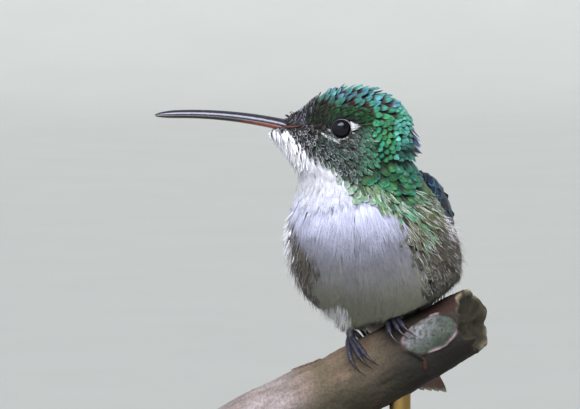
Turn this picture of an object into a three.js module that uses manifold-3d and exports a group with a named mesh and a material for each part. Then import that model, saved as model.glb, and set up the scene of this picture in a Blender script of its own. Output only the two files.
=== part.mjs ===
// A life-size still model of a small white-bellied hummingbird of the emerald group, perched on a
// cut length of broken branch that a plain display stand holds up.
// Millimetres, +Z up. The origin is the middle of the base's underside, and the breast faces -Y.
import * as THREE from "three";
import { mergeVertices } from "three/addons/utils/BufferGeometryUtils.js";
import Module from "manifold-3d";

const wasm = await Module();
wasm.setup();

// ---------------------------------------------------------------- driving dimensions
const GAP = 0.3; // clearance between neighbouring solids
const FACET = { head: 1.55, body: 2.2 }; // edge lengths of the flesh's facets

const BODY_CENTRE = [-3.2, 0, 56.4];
const BODY_YAW = 10; // degrees that the breast turns towards -X
const BODY_PITCH = 42; // degrees that the body's axis rises towards the neck

const SKULL_CENTRE = [-6.0, -7.0, 72.6];
const HEAD_YAW = 86; // degrees that the bill turns from -Y towards -X

const EYE = { forward: 1.8, side: 4.5, up: 0.75, radius: 1.75 };

const BILL = {
  base: [5.2, 0.6], // forward and up from the skull's centre
  bend: [16.5, 3.35],
  tip: [27.6, 2.65],
  height: 1.9, // at the base
  width: 2.2,
  upperShare: 0.6, // of the height, above the line where the mandibles meet
};

const TAIL = { yaw: 9, drop: 28, length: 30, feathers: 10, rootWidth: 5.2, tipWidth: 11.4 };
const WING = { primaries: 10, secondaries: 6, rootBulk: 1.6 };
const VANE = { thick: 0.6, lap: 0.22 };

const PERCH = {
  centre: [-4.2, 0.8, 38], // on the axis, under the bird's right foot
  slope: 28.5, // degrees that it rises towards +X
  yaw: 8, // degrees that its high end comes forward
  radius: 5.1,
  taper: 0.04, // of radius lost for each millimetre towards the high end
  low: -21, // from the centre to the cut end, along the axis
  high: 16.9, // and to the broken end
};

// The oval rim of an old knot on the branch: where it is along and round the branch, and how far
// it reaches both ways.
const KNOT = { station: 11.2, angle: 1.28, reach: 3.8, spread: 0.5, width: 0.3, rise: 0.28 };

const FOOT = {
  stations: { right: 1.0, left: 8.0 }, // along the perch from its centre
  reach: { right: 94, left: 80 }, // degrees that the front toes and their claws go round it
  hindReach: 82,
  clawShare: 0.35, // of the reach
  toeRadius: 0.42,
  room: 2.05, // that the belly leaves for the toes above the perch
  spread: [-1.25, 0, 1.25], // the front toes, along the perch
};

const BASE = { radius: 31, height: 6, chamfer: 1 };
const ROD = { x: 0.6, radius: 1.5, plug: 2.6 };

// ---------------------------------------------------------------- frames
const radians = THREE.MathUtils.degToRad;
const vector = (list) => new THREE.Vector3(...list);

// A right-handed frame whose first axis points where the yaw and pitch say, and whose second
// axis, the bird's left, is level.
function frameAt(origin, yaw, pitch) {
  const forward = new THREE.Vector3(
    -Math.sin(radians(yaw)) * Math.cos(radians(pitch)),
    -Math.cos(radians(yaw)) * Math.cos(radians(pitch)),
    Math.sin(radians(pitch)),
  );
  const left = new THREE.Vector3(0, 0, 1).cross(forward).normalize();
  const up = forward.clone().cross(left);
  return new THREE.Matrix4().makeBasis(forward, left, up).setPosition(...origin);
}

const bodyFrame = frameAt(BODY_CENTRE, BODY_YAW, BODY_PITCH);
const headFrame = frameAt(SKULL_CENTRE, HEAD_YAW, 0);
const worldFrame = new THREE.Matrix4();
const place = (frame, list) => vector(list).applyMatrix4(frame);

// ---------------------------------------------------------------- solids and geometries
// The solid inside a closed surface, whichever way its faces look.
function solidFrom(geometry) {
  const bare = geometry.index ? geometry.toNonIndexed() : geometry.clone();
  bare.deleteAttribute("normal");
  bare.deleteAttribute("uv");
  const merged = mergeVertices(bare, 1e-4);
  const vertProperties = new Float32Array(merged.attributes.position.array);
  const triVerts = new Uint32Array(merged.index.array);
  const solid = new wasm.Manifold(new wasm.Mesh({ numProp: 3, vertProperties, triVerts }));
  if (solid.volume() > 0) return solid;
  return new wasm.Manifold(
    new wasm.Mesh({ numProp: 3, vertProperties, triVerts: triVerts.reverse() }),
  );
}

function geometryFrom(solid) {
  const mesh = solid.getMesh();
  const corners = new Float32Array(mesh.numVert * 3);
  for (let i = 0; i < mesh.numVert; i++) {
    corners.set(mesh.vertProperties.subarray(i * mesh.numProp, i * mesh.numProp + 3), i * 3);
  }
  const geometry = new THREE.BufferGeometry();
  geometry.setAttribute("position", new THREE.BufferAttribute(corners, 3));
  geometry.setIndex(new THREE.BufferAttribute(mesh.triVerts, 1));
  return geometry;
}

const union = (solids) => solids.reduce((whole, next) => whole.add(next));
const mix = (a, b, t) => a.map((v, i) => v + (b[i] - v) * t);

// The largest of a solid's separate bodies, which drops crumbs that a cut leaves.
function mainBody(solid) {
  return solid.decompose().sort((a, b) => b.volume() - a.volume())[0];
}

// The triangles that shut a ring's end round its middle, which is number -1.
function roundCap(sides) {
  const triangles = [];
  for (let j = 0; j < sides; j++) triangles.push([-1, j, (j + 1) % sides]);
  return triangles;
}

// The solid inside a row of rings with the same number of points, with both ends shut by cap.
function loft(rings, cap = roundCap(rings[0].length)) {
  const corners = [];
  const sides = rings[0].length;
  const add = (...points) => points.forEach((p) => corners.push(p.x, p.y, p.z));
  const middle = (ring) =>
    ring.reduce((sum, p) => sum.add(p), new THREE.Vector3()).divideScalar(sides);
  const addCap = (ring, flipped) => {
    const ends = { "-1": middle(ring), ...ring };
    for (const [a, b, c] of cap) add(ends[a], ends[flipped ? c : b], ends[flipped ? b : c]);
  };
  addCap(rings[0], true);
  addCap(rings[rings.length - 1], false);
  for (let i = 0; i + 1 < rings.length; i++)
    for (let j = 0; j < sides; j++) {
      const k = (j + 1) % sides;
      add(rings[i][j], rings[i][k], rings[i + 1][k]);
      add(rings[i][j], rings[i + 1][k], rings[i + 1][j]);
    }
  const geometry = new THREE.BufferGeometry();
  geometry.setAttribute("position", new THREE.Float32BufferAttribute(corners, 3));
  return solidFrom(geometry);
}

// A lofted solid along a curve. section(t) gives the half width, the half thickness and the
// number of sides; face(t) is the direction that the flat side looks in.
function swept(curve, steps, section, face) {
  const rings = [];
  for (let i = 0; i <= steps; i++) {
    const t = i / steps;
    const { width, thick, sides } = section(t);
    const centre = curve.getPoint(t);
    const along = curve.getTangent(t);
    const across = along.clone().cross(face(t)).normalize();
    const out = across.clone().cross(along).normalize();
    const ring = [];
    for (let j = 0; j < sides; j++) {
      const angle = (2 * Math.PI * j) / sides;
      const point = centre.clone();
      point.addScaledVector(across, Math.cos(angle) * width);
      point.addScaledVector(out, Math.sin(angle) * thick);
      ring.push(point);
    }
    rings.push(ring);
  }
  return loft(rings);
}

const bezier = (a, b, c) => new THREE.QuadraticBezierCurve3(a, b, c);

// ---------------------------------------------------------------- soft forms as distance fields
// An ellipsoid in a frame: its distance is exact on its surface and close near it.
function ellipsoid(frame, centre, radii) {
  const inverse = frame.clone().invert();
  const point = new THREE.Vector3();
  return (p) => {
    point.copy(p).applyMatrix4(inverse);
    const x = (point.x - centre[0]) / radii[0];
    const y = (point.y - centre[1]) / radii[1];
    const z = (point.z - centre[2]) / radii[2];
    const near = Math.hypot(x, y, z);
    const slope = Math.hypot(x / radii[0], y / radii[1], z / radii[2]);
    return slope < 1e-9 ? -Math.min(...radii) : (near * (near - 1)) / slope;
  };
}

// The union of fields, rounded where they meet over about the given length.
function blended(fields, length) {
  return (p) => {
    let least = Infinity;
    for (const field of fields) {
      const next = field(p);
      const share = Math.max(length - Math.abs(least - next), 0) / length;
      least = Math.min(least, next) - (share * share * length) / 4;
    }
    return least;
  };
}

// The closed surface where a field is zero, on a grid of the given cell: one corner in each cell
// that the surface crosses, and one quad across each grid edge that it cuts.
function surfaceOf(field, low, high, cell) {
  const count = [0, 1, 2].map((a) => Math.ceil((high[a] - low[a]) / cell) + 1);
  const at = (i, j, k) => (k * count[1] + j) * count[0] + i;
  const spot = (i, j, k) => new THREE.Vector3(low[0] + i * cell, low[1] + j * cell, low[2] + k * cell);
  const value = new Float64Array(count[0] * count[1] * count[2]);
  for (let k = 0; k < count[2]; k++)
    for (let j = 0; j < count[1]; j++)
      for (let i = 0; i < count[0]; i++) value[at(i, j, k)] = field(spot(i, j, k));

  const settle = (p) => {
    const h = cell / 50;
    const shifted = (x, y, z) => field(new THREE.Vector3(p.x + x, p.y + y, p.z + z));
    const here = field(p);
    const slope = new THREE.Vector3(shifted(h, 0, 0), shifted(0, h, 0), shifted(0, 0, h));
    slope.subScalar(here).divideScalar(h);
    return p.addScaledVector(slope, -here / Math.max(slope.lengthSq(), 0.2));
  };
  const corners = new Map();
  const cornerOf = (i, j, k) => {
    const key = at(i, j, k);
    if (corners.has(key)) return corners.get(key);
    const sum = new THREE.Vector3();
    let crossings = 0;
    for (let axis = 0; axis < 3; axis++)
      for (let side = 0; side < 4; side++) {
        const a = [i, j, k];
        a[(axis + 1) % 3] += side & 1;
        a[(axis + 2) % 3] += side >> 1;
        const b = [...a];
        b[axis] += 1;
        const from = value[at(...a)];
        const to = value[at(...b)];
        if (from < 0 === to < 0) continue;
        sum.add(spot(...a).lerp(spot(...b), from / (from - to)));
        crossings++;
      }
    const corner = settle(settle(sum.divideScalar(crossings)));
    corners.set(key, corner);
    return corner;
  };

  const positions = [];
  const addQuad = (quad) =>
    [0, 1, 2, 0, 2, 3].forEach((n) => positions.push(quad[n].x, quad[n].y, quad[n].z));
  for (let k = 1; k + 1 < count[2]; k++)
    for (let j = 1; j + 1 < count[1]; j++)
      for (let i = 1; i + 1 < count[0]; i++)
        for (let axis = 0; axis < 3; axis++) {
          const end = [i, j, k];
          end[axis] += 1;
          const inside = value[at(i, j, k)] < 0;
          if (inside === value[at(...end)] < 0) continue;
          const quad = [[0, 0], [1, 0], [1, 1], [0, 1]].map(([p, q]) => {
            const cellAt = [i, j, k];
            cellAt[(axis + 1) % 3] -= 1 - p;
            cellAt[(axis + 2) % 3] -= 1 - q;
            return cornerOf(...cellAt);
          });
          addQuad(inside ? quad : quad.reverse());
        }
  const geometry = new THREE.BufferGeometry();
  geometry.setAttribute("position", new THREE.Float32BufferAttribute(positions, 3));
  return geometry;
}

// ---------------------------------------------------------------- the plumage's outer form
const tailRoot = place(bodyFrame, [-16.5, 0, 0.8]);
const tailFrame = frameAt(tailRoot.toArray(), TAIL.yaw, TAIL.drop);
const THROAT_RISE = 52; // degrees that the line from throat to chin rises
const throatFrame = frameAt(place(headFrame, [8.1, 0, -1.2]).toArray(), HEAD_YAW, THROAT_RISE);
const headForm = [
  ellipsoid(headFrame, [-0.5, 0, 0.3], [7.5, 6.0, 6.2]), // cranium
  ellipsoid(headFrame, [3.6, 0, 1.7], [5.0, 3.6, 3.6]), // forehead
  ellipsoid(headFrame, [6.7, 0, 1.4], [2.6, 1.3, 1.2]), // feathers over the bill's base
  ellipsoid(headFrame, [1.8, 0, -2.6], [6.4, 5.8, 4.9]), // cheeks
  ellipsoid(throatFrame, [0, 0, 0], [3.8, 2.5, 1.7]), // throat
  ellipsoid(headFrame, [10.4, 0, 0.1], [1.9, 0.9, 0.6]), // chin
  ellipsoid(headFrame, [-4.0, 0, -1.8], [3.8, 5.0, 4.6]), // nape
];
const neckForm = [ellipsoid(worldFrame, [-5.2, -5.4, 66.0], [7.9, 7.2, 6.5])];
const trunkForm = [
  ellipsoid(bodyFrame, [4.6, -0.5, -0.8], [10.2, 10.9, 9.7]), // breast
  ellipsoid(bodyFrame, [-1.0, 0.4, -1.2], [11.2, 12.1, 9.0]), // belly and flanks
  ellipsoid(bodyFrame, [2.0, 0, 2.4], [12.5, 8.0, 6.6]), // back
  ellipsoid(bodyFrame, [-12.0, 0.6, 0.0], [8.2, 6.0, 5.0]), // vent
  ellipsoid(tailFrame, [-1.5, 0, 0.1], [7.5, 3.9, 2.3]), // coverts at the root of the tail
  ellipsoid(worldFrame, [-6.4, 0.4, 46.6], [1.4, 2.0, 2.2]), // right thigh's tuft
  ellipsoid(worldFrame, [1.2, 0.0, 48.6], [1.8, 2.2, 2.2]), // left thigh's tuft
];
const fleshField = blended([...headForm, ...neckForm, ...trunkForm], 2.4);
const fleshSolid = (facet, grow) =>
  solidFrom(surfaceOf((p) => fleshField(p) - grow, [-23, -22, 34], [14, 26, 84], facet));
const fineFlesh = fleshSolid(FACET.head, 0);
const flesh = fleshSolid(FACET.body, 0);
const fleshGrown = fleshSolid(FACET.body, GAP);

// ---------------------------------------------------------------- bill
const headPoint = (forward, up, side = 0) => place(headFrame, [forward, side, up]);
const billCurve = bezier(headPoint(...BILL.base), headPoint(...BILL.bend), headPoint(...BILL.tip));

// The bill's half height and half width along it: nearly even, then a short sharp point.
function billTaper(t) {
  const body = 1 - 0.42 * Math.pow(t, 0.7);
  const point = Math.sqrt(Math.max(1 - Math.pow(Math.max(t - 0.86, 0) / 0.14, 2), 0.012));
  return body * point;
}

function billSolid(grow) {
  const section = (t) => ({
    width: (BILL.width / 2) * billTaper(t) + grow,
    thick: (BILL.height / 2) * billTaper(t) + grow,
    sides: 8,
  });
  return swept(billCurve, 12, section, () => new THREE.Vector3(0, 0, 1));
}

// Everything above the line where the mandibles meet, as a block wider and longer than the bill.
function aboveGape(shift) {
  const steps = 12;
  const overrun = 1.5;
  const reach = 4;
  const side = headPoint(0, 0, 1).sub(headPoint(0, 0, 0));
  const rings = [];
  const addRing = (t, beyond) => {
    const centre = billCurve.getPoint(t).addScaledVector(billCurve.getTangent(t), beyond);
    const floor = centre.z - (BILL.upperShare - 0.5) * BILL.height * billTaper(t) + shift;
    const corner = (across, z) => centre.clone().addScaledVector(side, across).setZ(z);
    const roof = floor + reach;
    rings.push([corner(-reach, floor), corner(reach, floor), corner(reach, roof), corner(-reach, roof)]);
  };
  addRing(0, -overrun);
  for (let i = 0; i <= steps; i++) addRing(i / steps, 0);
  addRing(1, overrun);
  return loft(rings);
}

const bill = billSolid(0);
const billUpper = mainBody(bill.intersect(aboveGape(GAP / 4)));
const billLower = mainBody(bill.subtract(aboveGape(-GAP / 4)));

// ---------------------------------------------------------------- eyes
function eyeSolid(side, grow) {
  const eye = new THREE.SphereGeometry(EYE.radius + grow, 14, 8);
  const centre = headPoint(EYE.forward, EYE.up, side * EYE.side);
  return solidFrom(eye.translate(centre.x, centre.y, centre.z));
}

// ---------------------------------------------------------------- perch
const perchAxis = new THREE.Vector3(
  Math.cos(radians(PERCH.slope)) * Math.cos(radians(PERCH.yaw)),
  -Math.cos(radians(PERCH.slope)) * Math.sin(radians(PERCH.yaw)),
  Math.sin(radians(PERCH.slope)),
);
const perchUp = new THREE.Vector3(0, 0, 1).addScaledVector(perchAxis, -perchAxis.z).normalize();
const perchFront = perchUp.clone().cross(perchAxis).negate();
if (perchFront.y > 0) perchFront.negate();
const perchRadius = (s) => PERCH.radius - PERCH.taper * s;

// A point at a station along the perch, at an angle from its top towards the front.
function aroundPerch(station, angle, radius) {
  return vector(PERCH.centre)
    .addScaledVector(perchAxis, station)
    .addScaledVector(perchUp, Math.cos(angle) * radius)
    .addScaledVector(perchFront, Math.sin(angle) * radius);
}

// The branch's bark is a little lumpy and carries the raised rim of an old oval knot; its high
// end is broken off, with a ragged rim round a sunken heart.
function perchSolid(grow) {
  const sides = 18;
  const stations = 15;
  const lumps = (s, angle) =>
    0.1 * Math.sin(2 * angle + s * 0.35) + 0.07 * Math.sin(3 * angle - s * 0.8 + 1);
  const knot = (s, angle) => {
    const away = Math.hypot((s - KNOT.station) / KNOT.reach, (angle - KNOT.angle) / KNOT.spread);
    return KNOT.rise * Math.exp(-Math.pow((away - 1) / KNOT.width, 2));
  };
  const ragged = (angle) => 0.45 * Math.cos(angle) + 0.35 * Math.sin(5 * angle + 2);
  const ringAt = (s, scale, jag) => {
    const ring = [];
    for (let j = 0; j < sides; j++) {
      const angle = (2 * Math.PI * j) / sides - Math.PI;
      const station = s + jag * ragged(angle);
      const radius = perchRadius(s) + lumps(s, angle) + knot(s, angle) + grow;
      ring.push(aroundPerch(station, angle, radius * scale));
    }
    return ring;
  };
  const rings = [];
  const reach = PERCH.high - PERCH.low;
  rings.push(ringAt(PERCH.low - grow, 0.93, 0));
  for (let i = 0; i <= stations; i++) {
    const share = i / stations;
    rings.push(ringAt(PERCH.low + 0.4 - grow + (reach - 0.4) * share, 1, Math.pow(share, 8)));
  }
  rings.push(ringAt(PERCH.high + 0.9 + grow, 0.86, 1.2));
  rings.push(ringAt(PERCH.high - 0.6 + grow, 0.62, 0.7));
  rings.push(ringAt(PERCH.high - 0.2 + grow, 0.25, 0.3));
  return loft(rings);
}

// ---------------------------------------------------------------- feet
// One toe with its claw, laid round the perch; the claw's point curls in to the bark.
function toe(station, lean, from, reach) {
  const steps = 7;
  const claw = 1 - FOOT.clawShare;
  const radiusAt = (t) => {
    if (t < claw) return FOOT.toeRadius * (1 - 0.12 * (t / claw));
    return FOOT.toeRadius * (0.84 - 0.5 * ((t - claw) / FOOT.clawShare));
  };
  const points = [];
  for (let i = 0; i <= steps; i++) {
    const t = i / steps;
    const angle = radians(from + reach * t);
    const lift = radiusAt(t) + GAP + 0.4 + 0.35 * Math.sin(Math.PI * t);
    const along = station + lean * (0.25 + 0.75 * t) + 0.8 * t;
    points.push(aroundPerch(along, angle, perchRadius(along) + lift));
  }
  const curve = new THREE.CatmullRomCurve3(points);
  const section = (t) => ({ width: radiusAt(t), thick: radiusAt(t), sides: 5 });
  const axis = vector(PERCH.centre).addScaledVector(perchAxis, station);
  return swept(curve, steps, section, (t) => curve.getPoint(t).sub(axis).normalize());
}

// The bare shank, from the sole up into the feathers of the belly.
function shank(side, grow) {
  const station = FOOT.stations[side];
  const sole = aroundPerch(station, 0, perchRadius(station) + GAP + 1.15);
  const ankle = sole.clone().add(new THREE.Vector3(0, 1.2, 5.2 + grow));
  const section = (t) => ({ width: 0.66 - 0.12 * t + grow, thick: 0.62 - 0.08 * t + grow, sides: 6 });
  const middle = sole.clone().lerp(ankle, 0.5);
  return swept(bezier(sole, middle, ankle), 3, section, () => new THREE.Vector3(0, -1, 0));
}

function legSolid(side) {
  const station = FOOT.stations[side];
  const front = FOOT.spread.map((lean) => toe(station, lean, -8, FOOT.reach[side]));
  const hind = toe(station, 0, 4, -FOOT.hindReach);
  return union([...front, hind, shank(side, 0)]);
}

// ---------------------------------------------------------------- wings and tail
// The triangles that shut the end of such a fan: three between each feather and the underside,
// and one behind each lap.
function fanCap(count) {
  const under = (n) => 4 * count - n;
  const triangles = [];
  for (let n = 0; n < count; n++) {
    const top = 3 * n;
    triangles.push([top, top + 1, under(n)]);
    triangles.push([top + 1, under(n + 1), under(n)]);
    triangles.push([top + 1, top + 2, under(n + 1)]);
    if (n + 1 < count) triangles.push([top + 2, top + 3, under(n + 1)]);
  }
  return triangles;
}

// Flat feathers side by side, each lapped over the next one, as one solid. For a share q of the
// way across, rachis(q) is the curve that a feather's middle would follow there, face(q) the
// direction it looks in and level(q) how far its upper side is raised.
function fan({ count, steps, rachis, face, level, scallop, thick }) {
  const rings = [];
  const spot = (q, t, height) =>
    rachis(q)
      .getPoint(t)
      .addScaledVector(face(q), height);
  for (let i = 0; i <= steps; i++) {
    const t = i / steps;
    const ring = [];
    for (let n = 0; n < count; n++)
      for (const c of [0, 0.5, 1]) {
        const q = (n + c) / count;
        const end = t * (1 - (scallop * Math.abs(c - 0.5)) / 0.5);
        ring.push(spot(q, end, level(q) + (0.5 - c) * VANE.lap));
      }
    for (let n = count; n >= 0; n--) {
      const q = n / count;
      ring.push(spot(q, t * (1 - scallop * 0.7), level(q) - thick));
    }
    rings.push(ring);
  }
  return loft(rings, fanCap(count));
}

// A folded wing in the body's frame. Its primaries run from the one nearest the back to the
// outermost, which reaches furthest; the secondaries and the coverts lie over their roots.
function wingSolid(side) {
  const spot = ([u, v, w]) => place(bodyFrame, [u, side * v, w]);
  const facing = (degrees) => {
    const tip = spot([0, Math.cos(radians(degrees)), Math.sin(radians(degrees))]);
    return tip.sub(spot([0, 0, 0]));
  };
  const primary = (q) =>
    bezier(
      spot(mix([-3.5, 5.8, 9.0], [5.5, 8.2, 4.6], q)),
      spot(mix([-15, 5.2, 9.4], [-15, 10.6, 4.2], q)),
      spot(mix([-24, 1.8, 8.8], [-35.8, 3.4, 6.6], Math.pow(q, 0.8))),
    );
  const secondary = (q) =>
    bezier(
      spot(mix([4, 7.2, 7.8], [4, 3.4, 9.4], q)),
      spot(mix([-8, 7.2, 8.2], [-4, 2.6, 10.0], q)),
      spot(mix([-18, 4.6, 8.6], [-11.5, 1.8, 9.2], q)),
    );
  const coverts = new THREE.SphereGeometry(1, 12, 8).scale(9.4, 1.9, 4.2);
  coverts.rotateX(side * radians(-38)).rotateZ(side * radians(-9));
  coverts.translate(-0.8, side * 6.8, 6.1).applyMatrix4(bodyFrame);
  const primaries = fan({
    count: WING.primaries,
    steps: 6,
    rachis: primary,
    face: (q) => facing(62 - 30 * q),
    level: () => 0,
    scallop: 0.035,
    thick: VANE.thick,
  });
  const secondaries = fan({
    count: WING.secondaries,
    steps: 4,
    rachis: secondary,
    face: (q) => facing(62 + 18 * q),
    level: () => 0.35,
    scallop: 0.06,
    thick: WING.rootBulk,
  });
  const whole = union([primaries, secondaries, solidFrom(coverts)]);
  return mainBody(whole.subtract(fleshGrown));
}

function tailFan() {
  const vane = (q) => {
    const side = 2 * q - 1; // -1 and 1 are the outer edges
    const reach = TAIL.length * (1 - 0.04 * side * side);
    const at = (part, width) => place(tailFrame, [-part * reach, (side * width) / 2, -0.5 * part]);
    const middle = (TAIL.rootWidth + TAIL.tipWidth) / 2;
    return bezier(at(0, TAIL.rootWidth), at(0.5, middle), at(1, TAIL.tipWidth));
  };
  const face = place(tailFrame, [0, 0, 1]).sub(tailRoot);
  return fan({
    count: TAIL.feathers,
    steps: 5,
    rachis: vane,
    face: () => face,
    level: (q) => 0.8 * (1 - Math.pow(2 * q - 1, 2)),
    scallop: 0.04,
    thick: VANE.thick,
  });
}

// ---------------------------------------------------------------- parting the body
// Cuts a solid with a plane through a point, and keeps the side that the normal points to.
const keepSide = (solid, point, normal) => {
  const unit = normal.clone().normalize();
  return solid.trimByPlane(unit.toArray(), unit.dot(point) + GAP / 2);
};

const headCut = { point: vector([-5, -6, 68.0]), normal: vector([-0.16, 0, 0.99]) };
const neckCut = { point: vector([-4.4, -4.5, 63.4]), normal: vector([-0.12, -0.3, 0.94]) };
const tailCut = {
  point: place(bodyFrame, [-15.6, 0, 0]),
  normal: place(bodyFrame, [1, 0, 0]).sub(place(bodyFrame, [0, 0, 0])),
};
const flip = (cut) => ({ point: cut.point, normal: cut.normal.clone().negate() });
const cutAway = (solid, cuts) => cuts.reduce((s, c) => keepSide(s, c.point, c.normal), solid);

const perch = perchSolid(0);
const perchGrown = perchSolid(GAP);
const shanksGrown = union([shank("left", GAP), shank("right", GAP)]);
const sockets = union([eyeSolid(1, GAP), eyeSolid(-1, GAP)]);

const head = cutAway(fineFlesh, [headCut]).subtract(sockets).subtract(billSolid(GAP));
const neck = cutAway(flesh, [flip(headCut), neckCut]);
const trunk = cutAway(flesh, [flip(neckCut), tailCut])
  .subtract(perchSolid(FOOT.room))
  .subtract(shanksGrown);
const tail = cutAway(flesh, [flip(tailCut)]).add(tailFan());

// ---------------------------------------------------------------- stand
function baseGeometry() {
  const { radius, height, chamfer } = BASE;
  const profile = [
    [0, 0],
    [radius - chamfer, 0],
    [radius, chamfer],
    [radius, height - chamfer],
    [radius - chamfer, height],
    [0, height],
  ];
  return new THREE.LatheGeometry(
    profile.map(([r, z]) => new THREE.Vector2(r, z)),
    36,
  ).rotateX(Math.PI / 2);
}

// The rod stands on the base and plugs into a hole drilled in the underside of the perch.
function rodSolid(grow) {
  const station = (ROD.x - PERCH.centre[0]) / perchAxis.x;
  const under = PERCH.centre[2] + station * perchAxis.z - perchRadius(station) / perchUp.z;
  const top = under + ROD.plug + grow;
  const y = PERCH.centre[1] + station * perchAxis.y;
  const length = top - BASE.height;
  const rod = new THREE.CylinderGeometry(ROD.radius + grow, ROD.radius + grow, length, 24);
  return solidFrom(rod.rotateX(Math.PI / 2).translate(ROD.x, y, BASE.height + length / 2));
}

// ---------------------------------------------------------------- the object
const finishes = {
  green: [0x2f8f58, 0.45, 0.35],
  white: [0xe9e8f2, 0.9, 0],
  dusky: [0x2b2a33, 0.55, 0.1],
  bronze: [0x4f6a3a, 0.5, 0.3],
  bill: [0x17151c, 0.3, 0],
  mandible: [0x7a3526, 0.35, 0],
  eye: [0x070605, 0.05, 0],
  foot: [0x241f2e, 0.5, 0],
  bark: [0x8a7a6c, 0.85, 0],
  wood: [0x4a2e1d, 0.4, 0],
  brass: [0xb08d4a, 0.3, 1],
};

const object = new THREE.Group();

function addPart(name, shape, finish) {
  const [color, roughness, metalness] = finishes[finish];
  const geometry = shape.isBufferGeometry ? shape : geometryFrom(shape);
  const mesh = new THREE.Mesh(
    geometry,
    new THREE.MeshStandardMaterial({ color, roughness, metalness }),
  );
  mesh.name = name;
  object.add(mesh);
}

addPart("head", mainBody(head), "green");
addPart("neck", mainBody(neck), "green");
addPart("trunk", mainBody(trunk), "white");
addPart("tail", mainBody(tail), "bronze");
addPart("wing_left", wingSolid(1), "dusky");
addPart("wing_right", wingSolid(-1), "dusky");
addPart("bill_upper", billUpper, "bill");
addPart("bill_lower", billLower, "mandible");
addPart("eye_left", eyeSolid(1, 0), "eye");
addPart("eye_right", eyeSolid(-1, 0), "eye");
for (const side of ["left", "right"]) {
  addPart("leg_" + side, mainBody(legSolid(side).subtract(perchGrown)), "foot");
}
addPart("perch", mainBody(perch.subtract(rodSolid(GAP))), "bark");
addPart("stand_rod", rodSolid(0), "brass");
addPart("stand_base", baseGeometry(), "wood");

export default object;
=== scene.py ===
# The looks of a perched hummingbird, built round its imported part.
# Sizes are millimetres and degrees unless a name says otherwise; mesh_object makes them metres.
import itertools
import math

import bpy
import numpy as np
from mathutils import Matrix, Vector
from mathutils.bvhtree import BVHTree


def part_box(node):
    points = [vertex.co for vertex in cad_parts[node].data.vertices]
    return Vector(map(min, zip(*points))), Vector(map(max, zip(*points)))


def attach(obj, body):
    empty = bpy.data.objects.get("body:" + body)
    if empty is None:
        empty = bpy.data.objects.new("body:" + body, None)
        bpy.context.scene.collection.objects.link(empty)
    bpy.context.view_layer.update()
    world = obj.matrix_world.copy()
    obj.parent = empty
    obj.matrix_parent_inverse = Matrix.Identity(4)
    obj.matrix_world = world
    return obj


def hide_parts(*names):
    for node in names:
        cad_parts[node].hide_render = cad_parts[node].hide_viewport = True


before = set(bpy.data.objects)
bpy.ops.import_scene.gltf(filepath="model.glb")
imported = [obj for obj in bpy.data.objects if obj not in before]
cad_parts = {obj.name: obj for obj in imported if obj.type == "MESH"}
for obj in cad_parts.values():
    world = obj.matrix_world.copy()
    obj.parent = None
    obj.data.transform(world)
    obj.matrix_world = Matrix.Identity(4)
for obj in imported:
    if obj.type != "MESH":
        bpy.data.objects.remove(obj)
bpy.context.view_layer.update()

MM = 0.001
SIDES = {"left": 1, "right": -1}
FLESH = ("head", "neck", "trunk")  # the nodes that one skin stands for


# ---------------------------------------------------------------- arithmetic
def unit(v):
    return v / np.maximum(np.linalg.norm(v, axis=-1, keepdims=True), 1e-9)


def dot(a, b):
    return (a * b).sum(-1, keepdims=True)


def ramp(low, high, x):
    """0 below low, 1 above high, and a smooth rise between them."""
    t = np.clip((np.asarray(x, float) - low) / (high - low), 0, 1)
    return t * t * (3 - 2 * t)


def mix(a, b, t):
    return a + (b - a) * t


def bump(x, middle, width):
    """1 at the middle, falling away over about the width."""
    return np.exp(-(((x - middle) / width) ** 2))


def colour(r, g, b):
    """A linear colour from how it looks on a screen, 0 to 255."""
    c = np.array([r, g, b], float) / 255
    return np.where(c <= 0.04045, c / 12.92, ((c + 0.055) / 1.055) ** 2.4)


def stops(table, x):
    """A value at x, from a table of values at places."""
    return np.interp(x, list(table), list(table.values()))


NOISE_CELLS = 16  # each way, before the noise repeats
NOISE_SHIFT, NOISE_START = 7.3, 100  # cells from one seed to the next, and of the first one


def noise(points, size, seed=0):
    """Smooth noise from -1 to 1 at points, that changes over about the given size."""
    table = np.random.default_rng(seed).uniform(-1, 1, (NOISE_CELLS,) * 3)
    q = np.asarray(points, float) / size + NOISE_SHIFT * seed + NOISE_START
    cell = np.floor(q).astype(int)
    f = q - cell
    f = f * f * (3 - 2 * f)
    total = 0
    for corner in itertools.product((0, 1), repeat=3):
        weight = np.prod([f[..., a] if corner[a] else 1 - f[..., a] for a in range(3)], axis=0)
        i, j, k = [(cell[..., a] + corner[a]) % NOISE_CELLS for a in range(3)]
        total = total + weight * table[i, j, k]
    return total


def bezier(a, b, c, t):
    """Points of the curve from a, bending towards b, to c."""
    a, b, c = (np.asarray(p, float) for p in (a, b, c))
    t = np.asarray(t, float)[..., None]
    return (1 - t) ** 2 * a + 2 * t * (1 - t) * b + t * t * c


def slope_of(points):
    """Unit directions along rows of points, the rows on the axis before the last."""
    return unit(np.gradient(points, axis=-2))


# ---------------------------------------------------------------- frames of the bird
class Frame:
    """A right-handed frame: the rows of axes are forward, the bird's left, and up."""

    def __init__(self, origin, axes):
        self.origin = np.asarray(origin, float)
        self.axes = np.asarray(axes, float)
        self.forward, self.left, self.up = self.axes

    def point(self, forward, left=0.0, up=0.0):
        parts = np.stack(np.broadcast_arrays(forward, left, up), -1).astype(float)
        return self.origin + parts @ self.axes

    def local(self, points):
        return (points - self.origin) @ self.axes.T


def axes_at(yaw, pitch):
    y, p = math.radians(yaw), math.radians(pitch)
    forward = np.array([-math.sin(y) * math.cos(p), -math.cos(y) * math.cos(p), math.sin(p)])
    left = unit(np.cross([0, 0, 1], forward))
    return np.array([forward, left, np.cross(forward, left)])


def box_of(node):
    low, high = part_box(node)
    return np.array(low) / MM, np.array(high) / MM


def centre_of(node):
    low, high = box_of(node)
    return (low + high) / 2


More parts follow.
